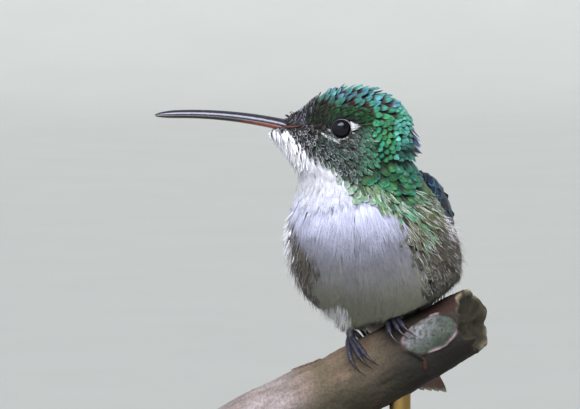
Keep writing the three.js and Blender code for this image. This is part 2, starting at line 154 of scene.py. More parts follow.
EYE = {side: centre_of("eye_" + side) for side in SIDES}
EYE_AHEAD, EYE_ABOVE = 1.8, 0.75  # of the skull's centre


def head_frame():
    up = np.array([0.0, 0.0, 1.0])
    left = unit(EYE["left"] - EYE["right"])
    forward = np.cross(left, up)
    middle = (EYE["left"] + EYE["right"]) / 2
    return Frame(middle - EYE_AHEAD * forward - EYE_ABOVE * up, [forward, left, up])


HEAD = head_frame()
BODY = Frame(centre_of("trunk") + (-0.16, -0.3, 2.0), axes_at(10, 42))
TAIL = Frame(BODY.point(-16.5, 0, 0.8), axes_at(9, 28))
NECK = np.array([-4.8, -5.4, 66.0])
EYEBALL_SHIFT = (0.34, 0.24)  # ahead of the plain eye's middle, and above it
EYEBALL_RADIUS = 1.50
LID_RADIUS = 1.31
EYEBALL = {
    side: EYE[side] + EYEBALL_SHIFT[0] * HEAD.forward + EYEBALL_SHIFT[1] * HEAD.up for side in SIDES
}

# The line that the plumage follows from the bill to the tail: a place on it, the way on to the
# tail, the way to the underside, the distance from the bill, and how far the place counts.
SPINE = [
    (HEAD.point(8.5, 0, 0.4), -HEAD.forward, -HEAD.up, 0, 3.5),
    (HEAD.point(0.5, 0, 0.2), -HEAD.forward, -HEAD.up, 8, 4.5),
    (NECK, (0.10, 0.25, -0.96), (-0.75, -0.65, -0.10), 16, 5.5),
    (BODY.point(6, 0, 0.5), -BODY.forward, -BODY.up, 22, 5),
    (BODY.point(0, 0, 0), -BODY.forward, -BODY.up, 29, 6),
    (BODY.point(-12, 0, 0.3), -BODY.forward, -BODY.up, 40, 6),
    (TAIL.point(0, 0, 0), -TAIL.forward, -TAIL.up, 45, 5),
]
SPINE_END = 52.0

# How far the underside's middle is turned from the spine's, in degrees, at distances from the bill.
MIDLINE = {0: 0, 6: -3, 9.9: -13, 12.4: -16, 15.7: -8, 16.7: 0, 18.7: 7, 20: 12, 22.5: 7, 26: 3, 52: 2}
UNWRAP_START, UNWRAP_EDGE = 3, 0.01  # what the unwrap shows before the bill, and leaves free all round


class Place:
    """Where points lie on the bird: s along it from the bill, and turn round it in degrees, from
    the underside towards its right; away is the turn to either side; ahead and above are measured
    from the eye, along the head."""

    def __init__(self, points):
        spots, ways, downs, along, reach = (np.array(c, float) for c in zip(*SPINE))
        offset = points[:, None] - spots
        weight = np.exp(-(offset**2).sum(-1) / (2 * reach**2))
        weight /= weight.sum(1, keepdims=True)
        self.way = unit(weight @ unit(ways))
        down = weight @ unit(downs)
        self.down = unit(down - dot(down, self.way) * self.way)
        self.left = np.cross(self.way, self.down)
        radial = points - weight @ spots
        turn = np.degrees(np.arctan2((radial * self.left).sum(1), (radial * self.down).sum(1)))
        self.s = (weight * (along + (offset * unit(ways)).sum(-1))).sum(1)
        self.turn = turn + stops(MIDLINE, self.s)
        self.away = np.abs(self.turn)
        face = HEAD.local(points)
        self.ahead, self.above = face[:, 0] - EYE_AHEAD, face[:, 2] - EYE_ABOVE

    def patch(self):
        """The place on an unwrap of the bird's skin, from 0 to 1 both ways."""
        across = (self.turn / 360 + 0.5) % 1.0
        along = (self.s + UNWRAP_START) / (SPINE_END + UNWRAP_START)
        free = (1 - 2 * UNWRAP_EDGE) * across
        return np.stack([UNWRAP_EDGE + free, np.clip(along, UNWRAP_EDGE, 1 - UNWRAP_EDGE)], -1)


RISE, HANG = 0.75, 1.5  # how steeply the coat climbs the forehead, and falls from the chin
PARTING = 2.7  # how far from an eye's middle the coat parts round it


def lie(points, normals):
    """The way that the coat lies at points of a surface: on to the tail, up over the forehead, down
    from the chin, and round the eyes."""
    at = Place(points)
    rise = ramp(-4, 2, at.ahead) * ramp(-0.6, 1.4, at.above) * ramp(8.0, 6.0, at.ahead)
    hang = ramp(2.2, 7.0, at.ahead) * ramp(1.3, -0.9, at.above - 0.24 * (at.ahead - 6.8))
    way = at.way + (RISE * rise * (1 - hang) - HANG * hang)[:, None] * HEAD.up
    for side, sign in SIDES.items():
        axis = sign * HEAD.left
        offset = points - EYEBALL[side]
        outward = unit(offset - dot(offset, axis) * axis)
        near = np.exp(-((dot(offset, offset) / PARTING**2) ** 2))
        way = way + near * (0.25 + 1.15 * np.maximum(-dot(way, outward), 0)) * outward
    return unit(way - dot(way, normals) * normals)


# ---------------------------------------------------------------- meshes
def mesh_object(name, points, loops, starts):
    """A mesh object from points in millimetres and polygons given as corners and first corners."""
    mesh = bpy.data.meshes.new(name)
    mesh.vertices.add(len(points))
    mesh.vertices.foreach_set("co", (np.asarray(points, float) * MM).astype(np.float32).ravel())
    mesh.loops.add(len(loops))
    mesh.loops.foreach_set("vertex_index", np.asarray(loops, np.int32).ravel())
    mesh.polygons.add(len(starts))
    mesh.polygons.foreach_set("loop_start", np.asarray(starts, np.int32))
    mesh.update(calc_edges=True)
    mesh.polygons.foreach_set("use_smooth", np.ones(len(starts), bool))
    return in_scene(name, mesh)


def in_scene(name, data):
    made = bpy.data.objects.new(name, data)
    bpy.context.scene.collection.objects.link(made)
    return made


def paint(made, **layers):
    """Adds a colour to each vertex, under each layer's name."""
    for name, values in layers.items():
        rgba = np.ones((len(values), 4), np.float32)
        rgba[:, :3] = values
        made.data.attributes.new(name, "FLOAT_COLOR", "POINT").data.foreach_set("color", rgba.ravel())


def unwrap(made, **layers):
    """Adds a UV map from each vertex's coordinates, under each layer's name."""
    corners = np.empty(len(made.data.loops), np.int32)
    made.data.loops.foreach_get("vertex_index", corners)
    for name, values in layers.items():
        layer = made.data.uv_layers.new(name=name)
        layer.uv.foreach_set("vector", np.asarray(values, np.float32)[corners].ravel())


def finish_piece(made, material, replaces=()):
    made.data.materials.append(material)
    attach(made, "root")
    if replaces:
        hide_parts(*replaces)
    return made


def tube_faces(inverted, stations, sides):
    """Corners and first corners of closed tubes of rings, walls first and then the ends; tubes
    that are inverted have rings that run the other way round."""
    tube = np.arange(len(inverted))[:, None]
    ring = np.arange(sides)
    after = (ring + 1) % sides
    row = np.arange(stations - 1)[:, None] * sides
    walls = np.stack([row + ring, row + after, row + sides + after, row + sides + ring], -1)
    first = ring[::-1]
    last = (stations - 1) * sides + ring
    one = np.concatenate([walls.ravel(), first, last])
    turned = np.concatenate([walls[..., ::-1].ravel(), first[::-1], last[::-1]])
    loops = tube * stations * sides + np.where(inverted[:, None], turned, one)
    starts = np.append(np.arange((stations - 1) * sides) * 4, walls.size + np.array([0, sides]))
    return loops.ravel(), (tube * len(one) + starts).ravel()


def tubes(name, sections):
    """Closed tubes in one mesh from their rings: (tube, station, corner of the ring, xyz)."""
    _, stations, sides, _ = sections.shape
    middles = sections.mean(2, keepdims=True)
    spokes = sections - middles
    areas = np.cross(spokes, np.roll(spokes, -1, axis=2)).sum(2)
    inverted = dot(areas[:, :-1], np.diff(middles[:, :, 0], axis=1)).sum((1, 2)) < 0
    loops, starts = tube_faces(inverted, stations, sides)
    return mesh_object(name, sections.reshape(-1, 3), loops, starts)


def swept_rings(centres, normals, ways, width, thick, sides):
    """Elliptical rings round the stations of tubes that run along ways: as wide and as thick,
    along the normals, as the half sizes say."""
    angle = np.arange(sides) * 2 * np.pi / sides
    width, thick = (np.asarray(v, float)[..., None, None] for v in (width, thick))
    c, s = np.cos(angle)[:, None], np.sin(angle)[:, None]
    across = np.cross(ways, normals)
    return centres[..., None, :] + width * c * across[..., None, :] + thick * s * normals[..., None, :]


def grid_faces(rows, columns, wrapped=False):
    """Corners and first corners of the quads of a grid of points, wrapped round its columns."""
    j = np.arange(columns if wrapped else columns - 1)
    i = np.arange(rows - 1)[:, None] * columns
    after = (j + 1) % columns
    quads = np.stack([i + j, i + after, i + columns + after, i + columns + j], -1).reshape(-1, 4)
    return quads.ravel(), np.arange(len(quads)) * 4


# ---------------------------------------------------------------- shaders
MIDTONES = (0.3, 0.7)  # the values between which most of the noise lies


class Shader:
    """A Principled material, whose sockets that don't vary are set by name."""

    def __init__(self, name, **constants):
        self.material = bpy.data.materials.new(name)
        self.material.use_nodes = True
        self.tree = self.material.node_tree
        self.surface = self.tree.nodes["Principled BSDF"]
        for socket, value in constants.items():
            self.surface.inputs[socket.replace("_", " ")].default_value = value

    def node(self, kind, inputs=(), **settings):
        made = self.tree.nodes.new("ShaderNode" + kind)
        for key, value in settings.items():
            setattr(made, key, value)
        for key, value in dict(inputs).items():
            if isinstance(value, bpy.types.NodeSocket):
                self.tree.links.new(value, made.inputs[key])
            else:
                made.inputs[key].default_value = value
        return made

    def feed(self, socket, value):
        self.tree.links.new(value, self.surface.inputs[socket])

    def math(self, operation, a, b=0.0):
        return self.node("Math", {0: a, 1: b}, operation=operation).outputs[0]

    def ramp(self, value, low, high, to_low=0.0, to_high=1.0):
        inputs = {"Value": value, "From Min": low, "From Max": high, "To Min": to_low, "To Max": to_high}
        return self.node("MapRange", inputs, interpolation_type="SMOOTHSTEP").outputs[0]

    def mix(self, factor, a, b):
        inputs = {0: factor, 6: self.rgba(a), 7: self.rgba(b)}
        return self.node("Mix", inputs, data_type="RGBA").outputs[2]

    def scale(self, tint, factor):
        """A colour made brighter or darker."""
        mixed = self.node("VectorMath", {0: tint, "Scale": factor}, operation="SCALE")
        return mixed.outputs[0]

    @staticmethod
    def rgba(value):
        return value if isinstance(value, bpy.types.NodeSocket) else (*value, 1.0)

    def attribute(self, name):
        return self.node("Attribute", attribute_name=name).outputs["Color"]

    def uv(self, name):
        found = self.node("UVMap", uv_map=name).outputs[0]
        split = self.node("SeparateXYZ", {0: found})
        return split.outputs[0], split.outputs[1]

    def noise(self, size, detail=3.0, roughness=0.55):
        """Noise from 0 to 1 that changes over about the given size in millimetres."""
        place = self.node("TexCoord").outputs["Object"]
        inputs = {"Vector": place, "Scale": 1 / (size * MM), "Detail": detail, "Roughness": roughness}
        return self.node("TexNoise", inputs).outputs["Fac"]

    def bump(self, height, depth, strength=1.0):
        inputs = {"Height": height, "Distance": depth * MM, "Strength": strength}
        return self.node("Bump", inputs).outputs[0]

    def mottled(self, size, low=0.0, high=1.0):
        """A factor that noise of a size takes from low to high."""
        return self.ramp(self.noise(size), *MIDTONES, low, high)


# The vanes' materials: how many barbs there are along a vane, how deep and how dark the gaps
# between them; the root's colour, and the shares of the length over which it gives way; how
# metallic and how rough.
VANES = {
    "crown": (8.0, 0.05, 0.5, (46, 26, 22), (0.46, 0.7), 0.35, 0.36),
    "green": (8.0, 0.06, 0.55, (18, 32, 24), (0.42, 0.72), 0.35, 0.34),
    "dull": (9.0, 0.03, 0.2, (44, 38, 36), (0.1, 0.45), 0.0, 0.62),
    "pale": (11.0, 0.015, 0.06, (214, 212, 222), (0.0, 0.3), 0.0, 0.85),
    "flight": (60.0, 0.02, 0.22, (20, 19, 24), (0.0, 0.1), 0.35, 0.4),
    "covert": (10.0, 0.02, 0.2, (26, 24, 26), (0.3, 0.6), 0.6, 0.3),
    "tail": (60.0, 0.02, 0.2, (60, 60, 40), (0.0, 0.1), 0.4, 0.42),
}
EDGE_SHARE = 0.8  # of the Rim's colour at a vane's edge


def vane_material(name):
    """Vanes painted by Tint, edged by Rim and dark at the root, with barbs that slant off the
    shaft."""
    number, depth, darkness, root_colour, root_ends, metallic, rough = VANES[name]
    s = Shader(name + "_vanes", Metallic=metallic, Roughness=rough)
    across, along = s.uv("Vane")
    off = s.math("MULTIPLY", s.math("ABSOLUTE", s.math("SUBTRACT", across, 0.5)), 2.0)
    slant = s.math("MULTIPLY", s.math("SUBTRACT", along, s.math("MULTIPLY", off, 0.5)), number)
    wave = s.math("SINE", s.math("MULTIPLY", slant, 2 * math.pi))
    barbs = s.math("MULTIPLY", s.math("ADD", wave, 1.0), 0.5)
    edge = s.math("MAXIMUM", s.ramp(off, 0.66, 1.0), s.ramp(along, 0.80, 1.0))
    blotch = s.mottled(0.45, 0.82, 1.18)
    tint = s.scale(s.attribute("Tint"), blotch)
    tint = s.scale(tint, s.ramp(barbs, 0.0, 1.0, 1 - darkness, 1.0))
    tinted = s.mix(s.math("MULTIPLY", edge, EDGE_SHARE), tint, s.attribute("Rim"))
    s.feed("Base Color", s.mix(s.ramp(along, *root_ends), colour(*root_colour), tinted))
    s.feed("Normal", s.bump(barbs, depth, 0.6))
    return s.material


def strand_material(name, **constants):
    """Barbs on their own, painted by Tint and by Rim to their points."""
    s = Shader(name, **constants)
    _, along = s.uv("Vane")
    tint = s.scale(s.attribute("Tint"), s.mottled(0.25, 0.9, 1.08))
    s.feed("Base Color", s.mix(s.ramp(along, 0.4, 1.0, 0.0, 0.6), tint, s.attribute("Rim")))
    return s.material


# ---------------------------------------------------------------- the form that the coat grows on
class Surface:
    """A closed surface of triangles that gives its nearest point and smooth normal."""

    def __init__(self, points, triangles):
        self.points, self.triangles = points, triangles
        self.tree = BVHTree.FromPolygons(points.tolist(), triangles.tolist())
        self.normals = vertex_normals(points, triangles)

    def nearest(self, points):
        spots = np.empty_like(points)
        faces = np.empty(len(points), int)
        for i, point in enumerate(points.tolist()):
            spot, _, faces[i], _ = self.tree.find_nearest(point)
            spots[i] = spot
        corners = self.points[self.triangles[faces]]
        apart = np.linalg.norm(corners - spots[:, None], axis=-1)
        weight = 1 / np.maximum(apart, 1e-4) ** 2
        normals = (self.normals[self.triangles[faces]] * weight[..., None]).sum(1)
        return spots, unit(normals)

    def scatter(self, gap, seed):
        """Points spread over the surface about gap(points) apart, in a fixed random order."""
        rng = np.random.default_rng(seed)
        corners = self.points[self.triangles]
        normal = np.cross(corners[:, 1] - corners[:, 0], corners[:, 2] - corners[:, 0])
        area = np.linalg.norm(normal, axis=1) / 2
        share = np.cumsum(area / gap(corners.mean(1)) ** 2)
        count = int(share[-1] * 6)
        picks = np.searchsorted(share, rng.uniform(0, share[-1], count))
        a, b = rng.uniform(size=(2, count, 1))
        a, b = np.where(a + b > 1, 1 - a, a), np.where(a + b > 1, 1 - b, b)
        c = corners[picks]
        points = c[:, 0] + a * (c[:, 1] - c[:, 0]) + b * (c[:, 2] - c[:, 0])
        return points[spaced(points, gap(points))]


def spaced(points, gaps):
    """Which points to keep, so that no two kept ones are nearer than the later one's gap."""
    cell = gaps.max()
    keys = np.floor(points / cell).astype(int)
    kept, room = [], {}
    around = list(itertools.product((-1, 0, 1), repeat=3))
    spots = points.tolist()
    for n, (key, (x, y, z), gap) in enumerate(zip(keys.tolist(), spots, (gaps**2).tolist())):
        i, j, k = key
        clear = True
        for di, dj, dk in around:
            for u, v, w in room.get((i + di, j + dj, k + dk), ()):
                if (u - x) ** 2 + (v - y) ** 2 + (w - z) ** 2 < gap:
                    clear = False
                    break
            if not clear:
                break
        if clear:
            room.setdefault((i, j, k), []).append((x, y, z))
            kept.append(n)
    return np.array(kept, int)


def vertex_normals(points, triangles):
    corners = points[triangles]
    face = np.cross(corners[:, 1] - corners[:, 0], corners[:, 2] - corners[:, 0])
    normals = np.zeros_like(points)
    for corner in range(3):
        np.add.at(normals, triangles[:, corner], face)
    return unit(normals)


def triangles_of(mesh):
    """Points in millimetres and triangles of a mesh."""
    points = np.empty(len(mesh.vertices) * 3, np.float32)
    mesh.vertices.foreach_get("co", points)
    mesh.calc_loop_triangles()
    triangles = np.empty(len(mesh.loop_triangles) * 3, np.int32)
    mesh.loop_triangles.foreach_get("vertices", triangles)
    return points.reshape(-1, 3).astype(float) / MM, triangles.reshape(-1, 3)


def welded(node):
    """A CAD node's points and triangles, with the points at one spot joined."""
    points, triangles = triangles_of(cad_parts[node].data)
    _, first, back = np.unique(np.round(points, 3), axis=0, return_index=True, return_inverse=True)
    triangles = back.reshape(-1)[triangles]
    solid = (triangles[:, 0] != triangles[:, 1]) & (triangles[:, 1] != triangles[:, 2])
    return points[first], triangles[solid & (triangles[:, 0] != triangles[:, 2])]


def ball(centre, radii, axes, rows=24, columns=32):
    """Points and triangles of an ellipsoid whose radii lie along the rows of axes."""
    v = np.linspace(0.02, np.pi - 0.02, rows)
    u = np.arange(columns) * 2 * np.pi / columns
    v, u = np.meshgrid(v, u, indexing="ij")
    shape = np.stack([np.sin(v) * np.cos(u), np.sin(v) * np.sin(u), np.cos(v)], -1).reshape(-1, 3)
    quads = grid_faces(rows, columns, wrapped=True)[0].reshape(-1, 4)
    caps = [[0, j + 1, j] for j in range(1, columns - 1)]
    last = (rows - 1) * columns
    caps += [[last, last + j, last + j + 1] for j in range(1, columns - 1)]
    triangles = np.concatenate([quads[:, [0, 2, 1]], quads[:, [0, 3, 2]], np.array(caps)])
    return centre + (shape * radii) @ axes, triangles


GROW = 0.22  # of the solids, so that neighbours across their gap run together
VOXEL = 0.4
SMOOTHINGS = 8
# Balls round which the coat is padded out, from the skull's centre: forward and up, radii, and how
# far they nod. The first joins bill and head, and the others make the chin.
PADS = [
    ((4.6, 0.6), (2.6, 1.25, 1.1), 0),
    ((8.7, -0.2), (3.3, 0.9, 0.7), 20),
    ((9.5, -1.05), (2.5, 0.85, 0.75), 53),
]
TAIL_PAD = (7.5, 3.9, 2.3)  # radii of the coverts over the tail's root
EYE_ROOM = 0.14  # that the form leaves round the eyeballs
BROW_CUT = 0.55  # how much flatter the forehead is than the solid's


def plumage_form():
    """The whole bird's outer form without bill, wings and tail, as one smooth surface."""
    pieces = []
    for node in FLESH:
        points, triangles = welded(node)
        pieces.append((points + GROW * vertex_normals(points, triangles), triangles))
    pieces.append(ball(TAIL.point(-1.5, 0, 0.1), np.array(TAIL_PAD) + GROW, TAIL.axes))
    for side in SIDES:
        pieces.append(ball(EYEBALL[side], EYEBALL_RADIUS + EYE_ROOM, np.eye(3)))
    for (forward, up), radii, nod in PADS:
        c, s = math.cos(math.radians(nod)), math.sin(math.radians(nod))
        tilted = np.array([[c, 0, s], [0, 1, 0], [-s, 0, c]])
        pieces.append(ball(HEAD.point(forward, 0, up), np.array(radii), tilted @ HEAD.axes))
    shift, points, triangles = 0, [], []
    for p, t in pieces:
        points.append(p)
        triangles.append(t + shift)
        shift += len(p)
    triangles = np.concatenate(triangles)
    raw = mesh_object("form", np.concatenate(points), triangles.ravel(), np.arange(len(triangles)) * 3)
    remesh = raw.modifiers.new("remesh", "REMESH")
    remesh.mode = "VOXEL"
    remesh.voxel_size = VOXEL * MM
    settle = raw.modifiers.new("smooth", "SMOOTH")
    settle.iterations = SMOOTHINGS
    shown = raw.evaluated_get(bpy.context.evaluated_depsgraph_get())
    points, triangles = triangles_of(shown.to_mesh())
    bpy.data.objects.remove(raw)
    points = points - GROW * vertex_normals(points, triangles)
    face = HEAD.local(points)
    flatter = BROW_CUT * bump(face[:, 0], 7.8, 2.4) * ramp(1.4, 2.8, face[:, 2])
    return Surface(points - flatter[:, None] * vertex_normals(points, triangles), triangles)


# ---------------------------------------------------------------- the plumage's zones
# The edge of the white underside, in degrees round from its middle, at distances from the bill.
WHITE_EDGE = {
    0: 78, 3.5: 61, 6.3: 50, 9.9: 43, 11.4: 46, 13.0: 53, 14.6: 60, 16.0: 59, 17.4: 55, 18.5: 46,
    19.6: 42, 22.5: 42, 29.5: 47, 40: 62, 52: 80,
}


class Kind:
    """How one sort of feather grows. Lengths are millimetres; point is 0 for a round tip and 1 for
    a sharp one; lift is how far tips stand off the form; splay is degrees of disorder."""

    def __init__(self, gap, length, width, depth, lift, point=0.0, splay=6.0, camber=0.10):
        self.gap, self.length, self.width, self.depth = gap, length, width, depth
        self.lift, self.point, self.splay, self.camber = lift, point, splay, camber


KINDS = {
    "face": Kind(0.38, 0.90, 0.46, 0.30, 0.08, point=0.2, splay=9, camber=0.2),
    "brow": Kind(0.42, 1.40, 0.54, 0.30, 0.10, point=0.3, splay=9, camber=0.2),
    "crown": Kind(0.72, 2.10, 1.06, 0.55, 0.34, point=0.2, splay=8, camber=0.24),
    "crest": Kind(0.98, 2.20, 1.60, 0.55, 0.46, point=0.5, splay=9, camber=0.22),
    "cheek": Kind(0.41, 1.00, 0.54, 0.35, 0.12, point=0.3, splay=10),
    "ear": Kind(0.56, 1.30, 0.90, 0.40, 0.14, point=0.15, camber=0.2),
    "nape": Kind(0.52, 1.40, 0.84, 0.50, 0.26, point=0.15, splay=9, camber=0.22),
    "hind": Kind(0.70, 2.30, 0.92, 0.50, 0.85, point=0.6, splay=12, camber=0.2),
    "neck": Kind(0.80, 2.20, 1.44, 0.60, 0.24, point=0.12, splay=10, camber=0.28),
    "bib": Kind(0.46, 1.90, 0.48, 0.60, 0.20, point=0.7, splay=11),
    "disc": Kind(0.80, 1.50, 0.98, 0.30, 0.34, point=0.0, splay=4, camber=0.2),
    "dot": Kind(0.56, 1.05, 0.62, 0.30, 0.30, point=0.1, splay=6, camber=0.2),
    "chin": Kind(0.38, 1.80, 0.50, 0.30, 0.45, point=0.7, splay=7),
    "throat": Kind(0.46, 2.10, 0.70, 0.40, 0.05, point=0.7, splay=4),
    "breast": Kind(0.70, 3.80, 1.34, 0.72, 0.0, point=0.7, splay=5),
    "belly": Kind(0.72, 3.80, 1.36, 0.74, 0.0, point=0.7, splay=5),
    "shoulder": Kind(0.54, 2.20, 0.54, 0.75, 0.14, point=0.5, splay=12),
    "spot": Kind(0.74, 1.70, 0.78, 0.70, 0.12, point=0.15, splay=14, camber=0.2),
    "flank": Kind(0.66, 3.00, 1.00, 0.90, 0.06, point=0.5, splay=9),
    "back": Kind(0.90, 3.20, 1.90, 0.80, 0.14, point=0.1),
    "rump": Kind(0.90, 3.20, 1.80, 0.80, 0.12, point=0.2),
    "vent": Kind(0.80, 3.80, 1.50, 0.90, 0.10, point=0.5, splay=8),
    "covert": Kind(0.80, 2.60, 1.70, 0.30, 0.04, point=0.12, splay=4, camber=0.16),
    "long_covert": Kind(0.90, 4.20, 2.00, 0.30, 0.05, point=0.15, splay=3, camber=0.12),
}
ZONES = list(KINDS)


def among(zones, *names):
    """Which zones are among those named."""
    return np.isin(zones, [ZONES.index(name) for name in names])


def kind_values(zones, name):
    return np.array([getattr(kind, name) for kind in KINDS.values()])[zones]


def zones_at(points, ragged=1.0):
    """The index in ZONES of each point; ragged breaks the borders up. The borders are at distances
    from the bill (s), degrees from the underside's middle (away), and places from the eye."""
    rng = np.random.default_rng(5)
    at = Place(points)
    stir = lambda size: rng.normal(0, size * ragged, len(points))
    s, away = at.s + stir(0.3), at.away + stir(3.0)
    ahead, above = at.ahead + stir(0.25), at.above + stir(0.2)
    head = (s < 11.5) & (above > -9)
    right = at.turn >= 0
    edge = stops(WHITE_EDGE, s) + (15 * bump(s, 15, 2.6) - 10 * bump(s, 20, 3.0)) * right
    below_jaw = above < np.minimum(-0.45 + 0.92 * (ahead - 7.1), -0.25 + 0.24 * (ahead - 6.8))
    white = (away < edge) & ((s > 5) | below_jaw)
    black = (ahead > 2.8 + 0.50 * (5.9 - above)) & (above > -0.3 + 1.3 * ramp(6.0, 7.4, ahead))
    before_gape = (ahead > 5.4) & (above > -0.1)
    top = (away > 150) & (ahead < 3.5)
    brow = (above > np.minimum(0.4, 0.7 - 0.1 * ahead)) & (above < 3.0)
    order = [  # the first that holds counts
        ("chin", (white & (s < 3.2)) | ((ahead > 7.0) & below_jaw)),
        ("throat", white & (s < 14)),
        ("breast", white & (s < 25)),
        ("vent", (away < 75) & (s > 38)),
        ("belly", white),
        ("face", head & (black | before_gape)),
        ("brow", head & (ahead > -3.2) & brow),
        ("cheek", head & ((above < 0.7 - 0.1 * ahead) | (ahead > 5)) & (ahead > -3.4 + 0.35 * above)),
        ("crest", head & top & (above > 3.4) & (ahead > -6.8)),
        ("crown", head & (above > 1.6) & (ahead > -6.6)),
        ("hind", (away > 142) & (ahead < -6) & (above > -2.4) & (above < 1.5)),
        ("nape", (ahead < -6.2) & (above > -3.4)),
        ("ear", head),
        ("bib", (s > 12.4) & (s < 16.6) & (away < 80) & ~right),
        ("neck", (s < 15.6) & (away < 150)),
        ("spot", (s > 17.2) & (s < 33) & (away < stops(WHITE_EDGE, s) + 9) & ~right),
        ("shoulder", (s < 21.5) & (away < 104) & (~right | (away > 76))),
        ("flank", (s < 38) & (away < 112)),
        ("back", s < 37),
        ("rump", s > -99),  # all that is left
    ]
    return np.select([where for _, where in order], [ZONES.index(name) for name, _ in order])


def fringe_of(at):
    """How far places belong to the pale loose tufts that edge the flanks."""
    right = bump(at.turn, 68, 8) * ramp(17, 20, at.s) * ramp(31, 27, at.s)
    left = bump(at.turn, -92, 9) * ramp(18, 20, at.s) * ramp(25, 22.5, at.s)
    return np.maximum(right, left)


def hem_shade_of(points):
    """1 on the flank where it rests on the branch and is painted dark as shade, and 0 elsewhere."""
    return ramp(1.0, 3.5, points[:, 0]) * ramp(5.0, 3.0, perch_gap(points))


# ---------------------------------------------------------------- the plumage's colours
# The colours of the underside, as they look on a screen, at distances from the bill: partly its own
# white to grey, partly painted shade, with a painted shadow band from about 17.5 to 20 and a painted
# olive cast of bounce light on the belly.
UNDERSIDE_WITH_SHADE = {
    8: (243, 244, 255), 11.5: (234, 235, 253), 13.8: (221, 223, 248), 15.1: (206, 208, 236),
    16.5: (175, 177, 202), 17.5: (149, 151, 170), 18.6: (136, 137, 151), 19.8: (141, 141, 150),
    21.4: (158, 157, 157), 23.5: (157, 156, 149), 25.5: (154, 154, 138), 31: (157, 158, 138),
}
PALE = colour(242, 242, 248)
SMOKE = colour(136, 130, 124)
# The two colours that each sort of feather, or of its rims, lies between.
PAIRS = {
    "emerald": ((24, 112, 66), (76, 206, 134)),
    "sage": ((104, 134, 110), (150, 172, 146)),
    "sky": ((64, 176, 190), (104, 112, 178)),
    "forehead": ((50, 44, 34), (58, 92, 62)),
    "leaf": ((34, 96, 58), (104, 190, 124)),
    "violet": ((112, 104, 158), (150, 144, 196)),
    "moss": ((16, 38, 26), (54, 112, 60)),
    "soot": ((12, 12, 16), (34, 42, 44)),
    "soot_rim": ((50, 50, 62), (196, 190, 214)),
    "slate": ((20, 30, 30), (66, 94, 82)),
    "frost": ((150, 156, 160), (242, 240, 252)),
    "ear_rim": ((24, 66, 50), (112, 140, 106)),
    "nape": ((48, 164, 124), (118, 220, 210)),
    "nape_rim": ((36, 84, 96), (130, 206, 208)),
    "hind": ((44, 62, 110), (66, 120, 160)),
    "grove": ((14, 54, 28), (66, 118, 48)),
    "neck_rim": ((12, 56, 34), (60, 196, 180)),
    "leek": ((46, 88, 48), (132, 160, 78)),
    "pearl": ((44, 62, 58), (126, 154, 138)),
    "white": ((249, 250, 255), (232, 231, 246)),
    "olive": ((74, 94, 50), (108, 110, 74)),
    "spot": ((54, 55, 36), (88, 88, 60)),
    "brown": ((41, 36, 27), (68, 62, 47)),
    "bronze": ((46, 118, 66), (112, 128, 58)),
    "back_rim": ((32, 74, 44), (110, 104, 60)),
    "copper": ((96, 108, 56), (140, 110, 66)),
    "rump_rim": ((84, 74, 44), (150, 126, 88)),
    "down": ((206, 202, 196), (150, 144, 134)),
    "lore": ((40, 28, 29), (100, 72, 76)),
    # the painted shade of the flank where it rests on the branch
    "hem": ((44, 40, 34), (92, 88, 78)),
}


def pair(name):
    return tuple(colour(*c) for c in PAIRS[name])


def blend(name, t):
    """From the first to the second colour of a pair, by shares t."""
    return mix(*pair(name), t)


def underside(s):
    """The colour of the breast and belly at distances s from the bill, painted shade included."""
    seen = np.array([colour(*c) for c in UNDERSIDE_WITH_SHADE.values()])
    return np.stack([np.interp(s, list(UNDERSIDE_WITH_SHADE), seen[:, i]) for i in range(3)], 1)


